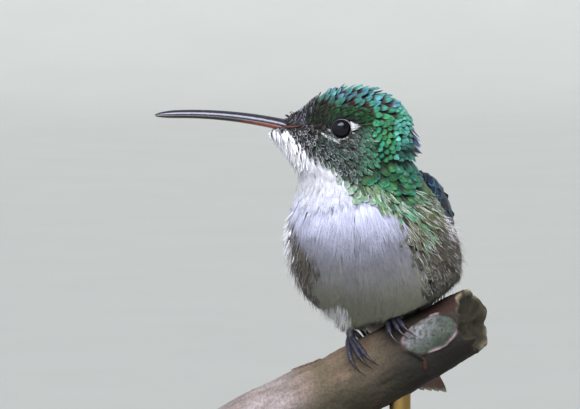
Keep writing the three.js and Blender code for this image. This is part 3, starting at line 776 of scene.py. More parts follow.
def zone_colours(points, zones, seed):
    """The Tint and Rim of feathers that grow at points, by zone, place and chance."""
    rng = np.random.default_rng(seed)
    at = Place(points)
    ahead, above = at.ahead, at.above
    n = len(points)
    chance = lambda: rng.uniform(0, 1, (n, 1))
    drift = lambda size, k: (0.5 + 0.5 * noise(points, size, k))[:, None]
    rise = lambda low, high, x: ramp(low, high, x)[:, None]
    tint, rim = np.zeros((n, 3)), np.zeros((n, 3))

    def put(zone, tints, rims):
        where = zones == ZONES.index(zone)
        tint[where], rim[where] = tints[where], rims[where]

    # the greens of head and back
    emerald = blend("emerald", drift(1.5, 1) * 0.6 + 0.4 * chance())
    emerald = mix(emerald, colour(52, 190, 168), 0.8 * drift(1.1, 2) * chance())
    grass = mix(emerald, colour(118, 170, 52), 0.85 * chance() * drift(2.2, 3))
    grass = mix(grass, colour(16, 74, 44), 0.6 * chance() ** 2)
    border = rise(2, 16, at.away - stops(WHITE_EDGE, at.s))
    sage = blend("sage", chance())
    sky = blend("sky", drift(1.4, 4) * 0.5 + 0.5 * chance())
    deep = mix(colour(24, 92, 60), emerald, 0.3 + 0.7 * chance())
    deep = mix(deep, blend("forehead", chance()), 0.75 * rise(-3.5, 0.5, ahead))

    # the cap
    top = rise(2.2, 5.2, above)
    crown = mix(deep, sky, 0.65 * top * chance() ** 0.5)
    leaf = blend("leaf", chance())
    shadow = mix(crown, colour(14, 48, 36), 0.6)
    put("crown", crown, mix(mix(shadow, leaf, 0.5 * chance()), sky, 0.7 * top))
    violet = blend("violet", chance())
    aloft = mix(violet, colour(84, 166, 196), rise(3.0, -1.5, ahead + 2.5 * (chance()[:, 0] - 0.5)))
    put("crest", mix(emerald, sky, 0.2 + 0.6 * chance()), aloft)
    before = rise(1.0, 3.4, ahead)
    moss = mix(blend("moss", chance()), colour(26, 32, 22), before)
    put("brow", moss, mix(mix(colour(22, 50, 34), leaf, 0.7 * chance()), colour(62, 70, 50), before))

    # face and cheek, frosted towards the throat
    soot = blend("soot", chance())
    put("face", soot, blend("soot_rim", chance() ** 1.4))
    slate = blend("slate", chance() ** 1.3)
    rear = 1 - rise(-5.5, -0.5, ahead)
    cheek = mix(slate, emerald, 0.85 * rear * (0.25 + 0.75 * chance()))
    to_throat = above + 7.15 - 0.95 * ahead
    hoary = (0.3 + 0.7 * rise(3.4, 0.9, to_throat)) * (1 - 0.6 * rear)
    front = rise(2.5, 5.0, ahead)
    cheek = mix(cheek, soot, front)
    hoary = np.maximum(hoary, 0.85 * front * rise(1.0, -0.6, above))
    frost = blend("frost", chance())
    put("cheek", cheek, mix(cheek, frost, hoary * ramp(0.2, 0.6, chance())))

    # the back of the head and the neck, bluer towards the spine
    ear = mix(emerald, grass, 0.6 * chance())
    put("ear", 1.05 * ear, blend("ear_rim", chance()))
    bright = blend("nape", chance())
    put("nape", mix(bright, leaf, 0.4 * chance()), blend("nape_rim", chance()))
    put("hind", blend("hind", chance()), mix(violet, sky, 0.3 * chance()))
    grove = mix(blend("grove", chance()), emerald, 0.3 * chance())
    neck = mix(sage, mix(grove, sky, 0.75 * rise(100, 140, at.away) * chance()), border)
    neck = mix(neck, colour(40, 100, 142), 0.7 * rise(118, 142, at.away) * chance())
    put("neck", neck, mix(neck, blend("neck_rim", chance()), 0.6))
    leek = blend("leek", chance() ** 1.5)
    leek = mix(leek, emerald, 0.8 * chance() * drift(1.2, 22))
    put("bib", mix(leek, PALE, 0.5 * ramp(0.7, 0.9, chance())), mix(leek, mix(leek, PALE, 0.8), chance()))
    pearl = blend("pearl", rise(5, 11, at.s))
    for zone in ("disc", "dot"):
        put(zone, mix(pearl, sage, 0.4 * chance()), mix(pearl, PALE, 0.4 + 0.3 * chance()))

    # the underside
    white = blend("white", drift(2.5, 6) * 0.5)
    # the underside's colours, with painted shade and painted bounce light towards the belly
    fluff = underside(at.s + 1.2 * (chance()[:, 0] - 0.5)) * (0.97 + 0.06 * drift(2.0, 26))
    put("chin", white, mix(white, PALE, 0.5))
    for zone in ("throat", "breast", "belly"):
        put(zone, fluff, mix(fluff, PALE, 0.12))

    # shoulder, flank and back
    olive = blend("olive", chance())
    patchy = rise(-0.3, 0.1, noise(points, 1.7, 16)) * rise(22.5, 18.5, at.s)
    mossy = mix(mix(olive, emerald, 0.8 * patchy), colour(112, 98, 84), 0.45 * chance())
    put("shoulder", mossy, mix(mossy, mix(colour(96, 100, 70), PALE, chance() ** 2), 0.6))
    spot = blend("spot", chance())
    put("spot", spot, mix(spot, PALE, 0.12 + 0.2 * chance()))
    brown = blend("brown", drift(1.6, 7))
    fringe = fringe_of(at)[:, None] * (chance() < 0.45)
    blush = mix(colour(226, 208, 214), PALE, chance())
    smoky = mix(brown, SMOKE, 0.3 * chance())
    put("flank", mix(smoky, blush, fringe), mix(mix(brown, SMOKE, chance()), blush, fringe))
    bronze = blend("bronze", drift(2.0, 8))
    put("back", mix(bronze, emerald, 0.5 * chance()), blend("back_rim", chance()))
    put("rump", blend("copper", drift(2.0, 9)), blend("rump_rim", chance()))
    put("vent", blend("down", chance()), mix(PALE, colour(196, 190, 184), chance()))

    # a dark ring round the eye, bare flesh before it, painted shade on the flank over the branch, and a
    # painted shadow under the nape at the back of the neck
    by_eye = among(zones, "face", "brow", "cheek", "ear", "crown")
    rimmed = by_eye & (np.hypot(ahead, above) < 2.3)
    tint[rimmed] = mix(tint, colour(20, 28, 26), 0.5)[rimmed]
    lore = by_eye & (ahead > 1.5) & (ahead < 5.2) & (np.abs(above - 0.06 - 0.03 * ahead) < 0.24)
    flesh = blend("lore", chance() ** 1.3)
    tint[lore], rim[lore] = mix(tint, flesh, 0.7)[lore], mix(rim, flesh, 0.4)[lore]
    # painted shade on the flank and its loose barbs where they rest on the branch
    hem = 0.85 * hem_shade_of(points)[:, None]
    shade = blend("hem", chance())
    tint, rim = mix(tint, shade, hem), mix(rim, shade, hem)
    # painted shadow under the nape, at the back of the neck
    notch_shadow = 0.92 * (bump(above, -2.1, 0.8) * ramp(-6.6, -7.6, ahead) * ramp(60, 90, at.away))[:, None]
    return mix(tint, colour(8, 14, 14), notch_shadow), mix(rim, colour(10, 18, 18), notch_shadow)


# ---------------------------------------------------------------- growing feathers
def trace(surface, roots, heading, length, stations, cling):
    """Where shafts run over a surface: their spots, normals and ways at shares of their length.
    A cling of 1 follows the surface; less lets a shaft leave it straight on."""
    spots, normals = surface.nearest(roots)
    way = heading(spots, normals)
    rows, done = [(spots, normals, way)], 0.0
    for share in stations[1:]:
        ahead = spots + way * ((share - done) * length)[:, None]
        on, normals = surface.nearest(ahead)
        spots = mix(ahead, on, cling[:, None])
        way = unit(mix(way, heading(on, normals), cling[:, None]))
        rows.append((spots, normals, way))
        done = share
    return (np.stack(values, 1) for values in zip(*rows))


def astray(heading, degrees):
    """A heading turned about the normal by each feather's own angle."""
    angle = np.radians(degrees)[:, None]

    def turned(points, normals):
        way = heading(points, normals)
        return np.cos(angle) * way + np.sin(angle) * np.cross(normals, way)

    return turned


# A vane's cross-sections: where they are along it, and the places of a section's corners across
# it and above it, as shares of its half width and of its thickness.
VANE_STATIONS = np.array([0, 0.22, 0.42, 0.6, 0.75, 0.87, 0.95, 0.99])
VANE_RING = np.array([-1, -0.55, 0, 0.55, 1, 0.55, 0, -0.55])
VANE_SIDE = np.array([0, 0.7, 1.0, 0.7, 0, -0.5, -0.6, -0.5])
VANE_THICK = 0.03
VANE_CREASE = 55  # degrees above which a vane's edge stays sharp
ROOT_DEPTH = 0.08  # that every root lies below its zone's depth


def vane_profile(t, point):
    """The half width along a vane, as a share of its greatest, for round to pointed tips."""
    rise = 0.35 + 0.65 * ramp(0, 0.45, t)
    round_tip = np.sqrt(np.clip(1 - (np.clip(t - 0.62, 0, 1) / 0.385) ** 2, 0.004, 1))
    sharp_tip = np.clip(1 - np.clip(t - 0.3, 0, 1) / 0.71, 0.02, 1) ** 0.7
    return rise * mix(round_tip, sharp_tip, point)


def vane_sections(shaft, normal, way, width, point, camber):
    side = np.cross(way, normal)
    half = (width / 2)[:, None] * vane_profile(VANE_STATIONS, point)
    half = half[..., None, None]
    x, z = VANE_RING[:, None], VANE_SIDE[:, None]
    arch = -camber[:, None, None, None] * half * x**2 + VANE_THICK * z
    return shaft[:, :, None] + side[:, :, None] * (x * half) + normal[:, :, None] * arch


PATCH = 0.003  # of the unwrap that one tuft takes


class Coat:
    """Collects closed tubes with their colours and places, and makes pieces of them."""

    LIMIT = 180_000  # triangles in a piece

    def __init__(self, name, material, slot, sharp=None):
        self.name, self.material, self.slot, self.sharp = name, material, slot, sharp
        self.parts = []

    def add(self, sections, tint, rim, patch, across, along, facing=None):
        """sections: (tube, station, corner, xyz); across and along: each corner's place on the
        vane, (station, corner); tint, rim and patch: one value for each tube; facing: the way
        that each corner is shaded, where it isn't the tube's own."""
        self.parts.append((sections, tint, rim, patch, across, along, facing))

    def build(self):
        number = 0
        for sections, tint, rim, patch, across, along, facing in self.parts:
            count, stations, sides, _ = sections.shape
            each = (stations - 1) * sides * 2 + 2 * (sides - 2)
            step = self.LIMIT // each
            for start in range(0, count, step):
                rows = slice(start, start + step)
                number += 1
                made = tubes(f"{self.name}_{number}", sections[rows])
                if self.sharp:
                    made.data.set_sharp_from_angle(angle=math.radians(self.sharp))
                if facing is not None:
                    made.data.normals_split_custom_set_from_vertices(facing[rows].reshape(-1, 3))
                repeat = lambda v: np.repeat(v[rows], stations * sides, axis=0)
                paint(made, Tint=repeat(tint), Rim=repeat(rim))
                vane = np.stack([across, along], -1).reshape(-1, 2)
                vane = np.tile(vane, (len(tint[rows]), 1))
                unwrap(made, Vane=vane, OFBake=repeat(patch) + (vane - 0.5) * PATCH)
                finish_piece(made, self.material)


def grow_vanes(coat, surface, roots, zones, seed, heading=lie, colours=zone_colours):
    """Overlapping vanes rooted at points of a surface, each by its zone's kind."""
    rng = np.random.default_rng(seed)
    n = len(roots)
    value = lambda name: kind_values(zones, name)
    length = value("length") * rng.uniform(0.85, 1.12, n)
    width = value("width") * rng.uniform(0.9, 1.1, n)
    turned = astray(heading, rng.normal(0, 1, n) * value("splay"))
    spots, normals, _ = trace(surface, roots, turned, length, VANE_STATIONS, np.ones(n))
    lift = value("lift") * rng.uniform(0.5, 1.4, n)
    sink = value("depth")[:, None] + ROOT_DEPTH
    height = -sink * (1 - VANE_STATIONS) ** 1.6 + lift[:, None] * VANE_STATIONS**2
    shaft = spots + normals * height[..., None]
    way = slope_of(shaft)
    normal = unit(normals - dot(normals, way) * way)
    tint, rim = colours(roots, zones, seed)
    bright = rng.uniform(0.72, 1.25, (n, 1))
    patch = Place(roots).patch()
    along = np.repeat(VANE_STATIONS[:, None], len(VANE_RING), axis=1)
    across = np.tile(0.5 + VANE_RING / 2, (len(VANE_STATIONS), 1))
    point, camber = value("point"), value("camber")
    for level in np.unique(point):
        rows = point == level
        sections = vane_sections(shaft[rows], normal[rows], way[rows], width[rows], level, camber[rows])
        coat.add(sections, tint[rows] * bright[rows], rim[rows], patch[rows], across, along)


STRAND_STATIONS = np.array([0, 0.4, 0.75, 1.0])
STRAND_SIDES = 3
FORM_SHARE = 0.65  # of the form's own normal in the way that a barb is shaded


def perch_gap(points):
    """How far points are from the perch."""
    offset = points - np.array(PERCH["centre"])
    radial = offset - dot(offset, PERCH_ALONG) * PERCH_ALONG
    return np.linalg.norm(radial, axis=1) - PERCH["radius"]


def over_perch(points):
    """1 where the belly comes down to the perch and its fluff hangs over it, and 0 elsewhere."""
    return ramp(6.0, 3.0, perch_gap(points)) * ramp(3.0, -1.0, BODY.local(points)[:, 2] + 4.0)


def strand_uv():
    """Each corner's place on a strand: always its middle, and how far along."""
    along = np.repeat(STRAND_STATIONS[:, None], STRAND_SIDES, axis=1)
    return np.full_like(along, 0.5), along


def grow_strands(
    coat, surface, roots, zones, number, seed, fan, thin=0.036, white=0.0, longer=1.0, stand_off=0.0, wild=0.0
):
    """Loose barbs in tufts: fan above 0 spreads a tuft to its tip, below 0 gathers it; white is
    the share of barbs that are pale whatever the zone, stand_off how far they lie over the vanes,
    and wild how far the wildest tips lift."""
    rng = np.random.default_rng(seed)
    n = len(roots)
    value = lambda name: kind_values(zones, name)
    loose = over_perch(roots)
    length = value("length") * rng.uniform(0.85, 1.2, n) * longer * (1 + 0.1 * loose)
    turned = astray(lie, rng.normal(0, 1, n) * value("splay"))
    spots, normals, ways = trace(surface, roots, turned, length, STRAND_STATIONS, 1 - 0.5 * loose)
    sides = unit(np.cross(ways, normals))
    tint, rim = zone_colours(roots, zones, seed)
    each = lambda v: np.repeat(v, number, axis=0)
    m = n * number
    x = rng.uniform(-1, 1, m) * each(value("width")) / 2
    share = rng.uniform(0.6, 1.0, m)[:, None]
    t = STRAND_STATIONS * share
    last = len(STRAND_STATIONS) - 2
    low = np.clip(np.searchsorted(STRAND_STATIONS, t, side="right") - 1, 0, last)
    part = (t - STRAND_STATIONS[low]) / (STRAND_STATIONS[low + 1] - STRAND_STATIONS[low])
    tuft = np.repeat(np.arange(n), number)[:, None]
    sample = lambda rows: mix(rows[tuft, low], rows[tuft, low + 1], part[..., None])

    sink = each(value("depth"))[:, None] + ROOT_DEPTH
    lift = each(value("lift"))[:, None] + stand_off * rng.uniform(0, 1, (m, 1))
    lift = lift + wild * rng.uniform(0, 1, (m, 1)) ** 6
    height = -sink * (1 - t) ** 1.6 + lift * t**2
    curl = rng.normal(0, 0.05, (m, 1)) * each(length)[:, None] * t**2
    sideways = x[:, None] * (0.35 + (0.65 + fan) * t) + curl
    normal, side = sample(normals), sample(sides)
    centres = sample(spots) + normal * height[..., None] + side * sideways[..., None]
    along = slope_of(centres)
    out = unit(normal - dot(normal, along) * along)
    radius = thin * rng.uniform(0.7, 1.2, (m, 1)) * (1 - 0.85 * STRAND_STATIONS)
    rings = swept_rings(centres, out, along, radius, radius, STRAND_SIDES)
    pale = rng.uniform(0, 1, (m, 1)) < white * (1 - each(hem_shade_of(roots))[:, None])
    shade = rng.uniform(0.88, 1.06, (m, 1)) * each(rng.uniform(0.93, 1.05, (n, 1)))
    tints = np.where(pale, PALE, each(tint)) * shade
    rims = np.where(pale, PALE, each(rim)) * shade
    facing = unit(mix(unit(rings - centres[:, :, None]), out[:, :, None], FORM_SHARE))
    coat.add(rings, tints, rims, each(Place(roots).patch()), *strand_uv(), facing)


def grow_hairs(coat, surface, roots, ways, length, tints):
    """Single barbs from their roots, each along its own way over the surface."""
    thin, lift = 0.030, 0.14
    heading = lambda points, normals: unit(ways - dot(ways, normals) * normals)
    spots, normals, ways_on = trace(surface, roots, heading, length, STRAND_STATIONS, np.ones(len(roots)))
    centres = spots + normals * (lift * STRAND_STATIONS)[:, None]
    radius = thin * np.ones((len(roots), 1)) * (1 - 0.8 * STRAND_STATIONS)
    rings = swept_rings(centres, normals, ways_on, radius, radius, STRAND_SIDES)
    coat.add(rings, tints, tints, Place(roots).patch(), *strand_uv())


# White marks at the eye: their first and last root, ahead of the eyeball's middle and above it; the
# way they run at the first and at the last, up from straight ahead; how long; how many barbs.
EYE_MARKS = [
    ((3.3, -0.35), (0.7, -1.78), (205, 200), 0.75, 60),
    ((0.6, -1.62), (-0.9, -1.42), (188, 160), 0.30, 18),
    ((-1.20, 1.02), (-1.50, -0.30), (206, 158), 1.10, 54),
    ((1.95, 0.12), (1.70, -0.25), (230, 220), 0.32, 14),
    ((-1.60, -0.62), (-1.66, -0.72), (190, 180), 0.35, 7),
]


def eye_trim(surface, material):
    """The broken white lines before and under each eye and the white wedge behind it."""
    coat = Coat("barbs_eye", material, "white_plumage")
    rng = np.random.default_rng(6)
    offset = lambda ahead, above: np.outer(ahead, HEAD.forward) + np.outer(above, HEAD.up)
    for side, sign in SIDES.items():
        for first, last, way, length, number in EYE_MARKS:
            share = rng.uniform(0, 1, number)
            ahead, above = (mix(a, b, share) + rng.normal(0, 0.06, number) for a, b in zip(first, last))
            roots = EYEBALL[side] + sign * HEAD.left + offset(ahead, above)
            towards = np.radians(mix(*way, share)) + rng.normal(0, 0.16, number)
            tints = PALE * rng.uniform(0.75, 1.05, (number, 1))
            lengths = length * rng.uniform(0.6, 1.1, number)
            grow_hairs(coat, surface, roots, offset(np.cos(towards), np.sin(towards)), lengths, tints)
    coat.build()


# ---------------------------------------------------------------- skin and coat
CHIN_TIP = 12.5  # how far ahead of the skull's centre the chin's feathers begin
BROW_TIP = (9.8, 1.5)  # how far ahead and up the forehead's feathers begin


def brow_front(up):
    """How far ahead of the skull's centre the forehead's feathers begin at a height."""
    return BROW_TIP[0] - 1.3 * np.maximum(up - BROW_TIP[1] - 0.7, 0)


def clear_of_eyes_and_bill(points):
    """Which points of the skin bear feathers: not under the eyelids nor round the bill."""
    face = HEAD.local(points)
    forward, up = face[:, 0], face[:, 2]
    keep = (forward < CHIN_TIP) & ~((forward > brow_front(up)) & (up > BROW_TIP[1]))
    for side in SIDES:
        offset = points - EYEBALL[side]
        flat = offset - (offset @ HEAD.left)[:, None] * HEAD.left
        far = np.linalg.norm(offset, axis=1) > 2.6
        keep &= far | (np.linalg.norm(flat, axis=1) > LID_RADIUS)
    t = np.linspace(0, 1, 60)
    half = bill_half(t)
    apart = np.linalg.norm(points[:, None] - bill_line(t), axis=-1) - half
    line = HEAD.local(bill_line(t))
    level = up - np.interp(forward, line[:, 0], line[:, 2])
    reach = np.interp(forward, line[:, 0], half)
    beside = (forward > 9.3) & (level < 0.8 * reach) & (level > -0.35 * reach)
    return keep & (apart.min(1) > 0.03) & ~beside


UNDER_WING = (1.3, 3.0)  # how far within a wing's outline no coat shows, and how near below it


def under_wings(points, normals):
    """Which points lie well under a folded wing, where no coat shows."""
    within, near = UNDER_WING
    solids = [welded("wing_" + side) for side in SIDES]
    trees = [BVHTree.FromPolygons(p.tolist(), t.tolist()) for p, t in solids]
    shifts = [within * sign * axis for sign in (1, -1) for axis in (BODY.forward, BODY.left)]
    hidden = np.ones(len(points), bool)
    for shift in [np.zeros(3)] + shifts:
        for i in np.flatnonzero(hidden):
            start, way = Vector(points[i] + shift), Vector(normals[i])
            hidden[i] = any(tree.ray_cast(start, way, near)[0] is not None for tree in trees)
    return hidden


def evened(values, triangles, times):
    """Values at corners, each made the mean of its neighbours' a number of times."""
    for _ in range(times):
        total, count = np.zeros(len(values)), np.zeros(len(values))
        for a, b in ((0, 1), (1, 2), (2, 0)):
            np.add.at(total, triangles[:, a], values[triangles[:, b]])
            np.add.at(count, triangles[:, a], 1)
        values = total / count
    return values


SKIN_FRONT = {"brow": 9.0, "chin": 11.4}  # how far ahead of the skull's centre the skin reaches


def skin_piece(surface):
    """One skin for head, neck and trunk, which lies inside the coat by its depth."""
    zones = zones_at(surface.points, ragged=0.4)
    tint, _ = zone_colours(surface.points, zones, 11)
    depth = kind_values(zones, "depth")
    for side in SIDES:
        apart = np.linalg.norm(surface.points - EYEBALL[side], axis=1)
        depth = depth + 0.7 * np.exp(-((apart / 2.0) ** 4))
    depth = evened(depth, surface.triangles, 6)
    face = HEAD.local(surface.points - surface.normals * depth[:, None])
    up = face[:, 2]
    above_bill = np.minimum(brow_front(up) - 0.8, SKIN_FRONT["brow"])
    front = mix(SKIN_FRONT["chin"], above_bill, ramp(0.6, 1.4, up))
    face[:, 0] -= np.maximum(face[:, 0] - front, 0) * 0.92
    starts = np.arange(len(surface.triangles)) * 3
    made = mesh_object("skin", HEAD.point(*face.T), surface.triangles.ravel(), starts)
    pale = among(zones, "throat", "breast", "belly", "vent")[:, None]
    paint(made, Tint=np.where(pale, tint * 0.8, mix(tint, colour(40, 30, 28), 0.7)))
    unwrap(made, OFBake=Place(surface.points).patch())
    s = Shader("skin", Roughness=0.85)
    s.feed("Base Color", s.scale(s.attribute("Tint"), s.mottled(0.5, 0.8, 1.1)))
    s.feed("Normal", s.bump(s.noise(0.3), 0.05))
    finish_piece(made, s.material, FLESH)


def edge_row(surface):
    """Roots of the row of round feathers that edges the cheek and neck against the throat."""
    middle = surface.points[surface.triangles].mean(1)
    at = Place(middle)
    at_edge = np.abs(at.away - stops(WHITE_EDGE, at.s)) < 2.2
    where = (at.s > 3.5) & (at.s < 14.5) & at_edge
    row = middle[where]
    row = row[spaced(row, 0.60 + 0.35 * ramp(5, 11, at.s[where]))]
    return row, np.where(Place(row).s < 8.5, ZONES.index("dot"), ZONES.index("disc"))


def feather_roots(surface):
    """Where the coat's feathers are rooted, and their zones."""

    def gap(points):
        at = Place(points)
        lore = bump(at.ahead, 4.8, 1.8) * bump(at.above, -0.6, 1.1)
        return kind_values(zones_at(points, 0.0), "gap") * (1 - 0.3 * lore)

    roots = surface.scatter(gap, 3)
    roots = roots[clear_of_eyes_and_bill(roots)]
    _, normals = surface.nearest(roots)
    face = HEAD.local(roots)
    fronting = (face[:, 0] > 7.8) & (face[:, 2] > 1.0) & (normals @ HEAD.forward > 0.72)
    roots, normals = roots[~fronting], normals[~fronting]
    roots = roots[~under_wings(roots, normals)]
    row, row_zones = edge_row(surface)
    return np.concatenate([roots, row]), np.append(zones_at(roots), row_zones)


# The coat's vanes: the piece's name, its zones, its material in VANES and its slot.
VANE_COATS = [
    ("crown", ("crown", "crest", "hind"), "crown", "green_plumage"),
    ("green", ("brow", "ear", "nape", "neck", "back", "rump"), "green", "green_plumage"),
    ("dusky", ("face", "cheek", "disc", "dot", "bib", "shoulder", "spot", "flank"), "dull", "green_plumage"),
    ("white", ("chin", "vent"), "pale", "white_plumage"),
]
# The coat's loose barbs: the piece's name, its zones, how many barbs a tuft has, the seed, and what
# grow_strands is told. Fringe, hem and leg grow only in the part of their zones that PARTS gives.
STRAND_COATS = [
    ("cheek", ("cheek",), 2, 31, dict(fan=0.5, thin=0.024, white=0.7, stand_off=0.08)),
    ("chin", ("chin",), 11, 31, dict(fan=-0.5, wild=0.2)),
    ("throat", ("throat",), 34, 31, dict(fan=0.2, stand_off=0.16, longer=1.2, thin=0.042)),
    ("breast", ("breast", "belly"), 44, 31, dict(fan=0.4, stand_off=0.2, longer=1.15, thin=0.038)),
    ("vent", ("vent",), 24, 31, dict(fan=0.5, stand_off=0.25)),
    ("shoulder", ("shoulder",), 9, 31, dict(fan=0.2, white=0.28, stand_off=0.3, longer=1.2)),
    ("neck", ("neck",), 4, 31, dict(fan=0.2, thin=0.022, stand_off=0.2)),
    ("bib", ("bib",), 12, 31, dict(fan=0.4, white=0.12, stand_off=0.35, longer=1.15)),
    ("spot", ("spot",), 14, 31, dict(fan=0.4, white=0.2, stand_off=0.2)),
    ("flank", ("flank",), 17, 31, dict(fan=0.4, white=0.07, stand_off=0.3, wild=1.0, longer=1.1)),
    ("fringe", ("flank",), 9, 32, dict(fan=-0.6, white=0.6, wild=0.9, stand_off=0.7)),
    # dark barbs that close the gap over the branch, their darkness painted shade
    ("hem", ("flank", "belly", "vent"), 30, 34, dict(fan=0.6, stand_off=0.6, longer=1.5, thin=0.042)),
    ("leg", ("belly",), 22, 33, dict(fan=-0.3, white=0.9, wild=1.0, stand_off=1.1)),
]
LEG_TUFT = (-9.0, 47.2, 2.3)  # across and up, and the radius, of the pale tuft before the near leg
PARTS = {
    "fringe": lambda roots: fringe_of(Place(roots)) > 0.35,
    "hem": lambda roots: hem_shade_of(roots) > 0.3,
    "leg": lambda roots: np.hypot(roots[:, 0] - LEG_TUFT[0], roots[:, 2] - LEG_TUFT[1]) < LEG_TUFT[2],
}


def plumage(surface):
    """The coat of head, neck and trunk."""
    roots, zones = feather_roots(surface)
    for name, kinds, material, slot in VANE_COATS:
        where = among(zones, *kinds)
        coat = Coat("plumage_" + name, vane_material(material), slot, VANE_CREASE)
        grow_vanes(coat, surface, roots[where], zones[where], 21)
        coat.build()
    loose = strand_material("loose_barbs", Roughness=0.75)
    for name, kinds, number, seed, options in STRAND_COATS:
        where = among(zones, *kinds)
        if name in PARTS:
            where &= PARTS[name](roots)
        coat = Coat("barbs_" + name, loose, "white_plumage")
        grow_strands(coat, surface, roots[where], zones[where], number, seed, **options)
        coat.build()
    eye_trim(surface, loose)


# ---------------------------------------------------------------- bill
# Places on the bill's middle line, forward of the skull's centre and above it, and its greatest
# height and width.
BILL = {"base": (5.2, 0.0), "bend": (16.5, 3.43), "tip": (27.6, 2.65), "height": 1.9, "width": 2.2}
GAPE = 0.10  # share of the height that the line between the mandibles lies below the middle


def bill_line(t):
    at = lambda key: HEAD.point(BILL[key][0], 0, BILL[key][1])
    return bezier(at("base"), at("bend"), at("tip"), t)


BODY_END, POINT = 0.86, 0.14  # shares of the bill's length: up to its rounded point, and the point's


def bill_half(t):
    """The bill's half height along it: nearly even, then a short point."""
    body = 1 - 0.48 * t**0.7
    point = np.sqrt(np.maximum(1 - (np.maximum(t - BODY_END, 0) / POINT) ** 2, 0.012))
    return BILL["height"] / 2 * body * point


def mandible(name, upper, material, node):
    """The upper or the lower half of the bill, with a rolled edge along the gape."""
    rounding = np.sin(np.linspace(0.05, np.pi / 2, 12))
    t = np.concatenate([np.linspace(0, BODY_END, 60), BODY_END + POINT * rounding])
    centres = bill_line(t)
    side = np.broadcast_to(HEAD.left, centres.shape)
    out = unit(np.cross(slope_of(centres), side))
    out = out * np.sign(out[:, 2:3])
    half = bill_half(t)
    wide = half * BILL["width"] / BILL["height"]
    sign = 1 if upper else -1
    sweep = np.linspace(0, np.pi, 22)
    arch = np.sin(sweep) ** (0.86 if upper else 0.8)
    spread = np.cos(sweep)
    gape = -2 * GAPE * half + sign * 0.035
    reach = (half - gape) if upper else (half + gape)
    crest = 0.08 * np.exp(-((spread / 0.25) ** 2)) * ramp(0.0, 0.1, 1 - t)[:, None] if upper else 0
    height = gape[:, None] + sign * reach[:, None] * (arch + crest)
    across = wide[:, None] * spread
    if upper:  # the nostrils' slots
        near = bump(t, 0.10, 0.085)[:, None]
        slot_at = bump(np.abs(sweep - np.pi / 2), 0.95, 0.2)
        height = height - 0.16 * near * slot_at
        across = across * (1 - 0.12 * near * slot_at)
    inner = np.linspace(-0.9, 0.9, 6)
    hollow = gape[:, None] + sign * 0.1 * half[:, None] * (1 - inner**2)
    across = np.concatenate([across, wide[:, None] * inner], 1)
    height = np.concatenate([height, hollow], 1)
    rings = centres[:, None] + side[:, None] * across[..., None] + out[:, None] * height[..., None]
    made = tubes(name, rings[None])
    share = np.repeat(t, rings.shape[1])
    low = np.tile(np.concatenate([1 - np.sin(sweep), np.ones(len(inner))]), len(t))
    unwrap(made, Vane=np.stack([low, share], -1))
    finish_piece(made, material, (node,))


def bill_materials():
    """Horn: black above with a red edge near the face, and red below that turns black ahead."""
    horn = Shader("bill_horn", Roughness=0.24, IOR=1.9, Specular_Tint=(0.80, 0.82, 1.0, 1.0))
    low, along = horn.uv("Vane")
    near = horn.ramp(along, 0.32, 0.0)
    edge = horn.math("MULTIPLY", near, horn.ramp(low, 0.55, 0.95))
    dark = horn.mix(horn.mottled(0.8), colour(20, 18, 25), colour(40, 36, 48))
    horn.feed("Base Color", horn.mix(edge, dark, colour(92, 44, 36)))
    horn.feed("Normal", horn.bump(horn.noise(0.5), 0.02))
    red = Shader("bill_lower_horn", Roughness=0.32, Coat_Weight=0.3, Coat_Roughness=0.2)
    _, along = red.uv("Vane")
    black = red.ramp(red.math("ADD", along, red.math("MULTIPLY", red.noise(1.2), 0.12)), 0.30, 0.62)
    warm = red.mix(red.mottled(0.7), colour(112, 50, 38), colour(150, 82, 62))
    red.feed("Base Color", red.mix(black, warm, colour(24, 20, 24)))
    red.feed("Normal", red.bump(red.noise(0.5), 0.02))
    return horn.material, red.material


def bill(surface):
    horn, red = bill_materials()
    mandible("bill_upper_horn", True, horn, "bill_upper")
    mandible("bill_lower_horn", False, red, "bill_lower")
    flesh = Shader("gape_flesh", Roughness=0.4)
    flesh.feed("Base Color", flesh.mix(flesh.noise(0.4), colour(58, 26, 22), colour(104, 52, 42)))
    t = np.linspace(0, 1, 16)
    for side, sign in SIDES.items():
        ahead, above = mix(8.4, 5.0, t), mix(0.42, 0.24, ramp(0, 0.6, t))
        line = HEAD.point(ahead + EYE_AHEAD, sign * 2.2, above + EYE_ABOVE)
        spots, normals = surface.nearest(line)
        centres = spots + 0.04 * normals
        thick = 0.13 * ramp(-0.1, 0.25, t) * ramp(1.05, 0.4, t) + 0.01
        rings = swept_rings(centres, normals, slope_of(centres), thick, thick * 0.8, 10)
        finish_piece(tubes("gape_" + side, rings[None]), flesh.material)


# ---------------------------------------------------------------- eyes
LID_BEADS = 30
LID_SIDES = 10
LID_OUT = 0.74  # from the eyeball's middle


def eyeball(side, axis, material):
    """The eyeball, a little flatter than a sphere in front."""
    rows, columns = 40, 56
    v = np.linspace(0.01, np.pi - 0.01, rows)
    u = np.arange(columns) * 2 * np.pi / columns
    radius = EYEBALL_RADIUS - 0.10 * np.exp(-((v / 0.5) ** 2))
    ring = np.stack([np.cos(u), np.sin(u)], -1)
    rings = (
        EYEBALL[side]
        + (radius * np.sin(v))[:, None, None] * (ring @ np.array([HEAD.forward, HEAD.up]))
        + (radius * np.cos(v))[:, None, None] * axis
    )
    finish_piece(tubes("eyeball_" + side, rings[None]), material, ("eye_" + side,))


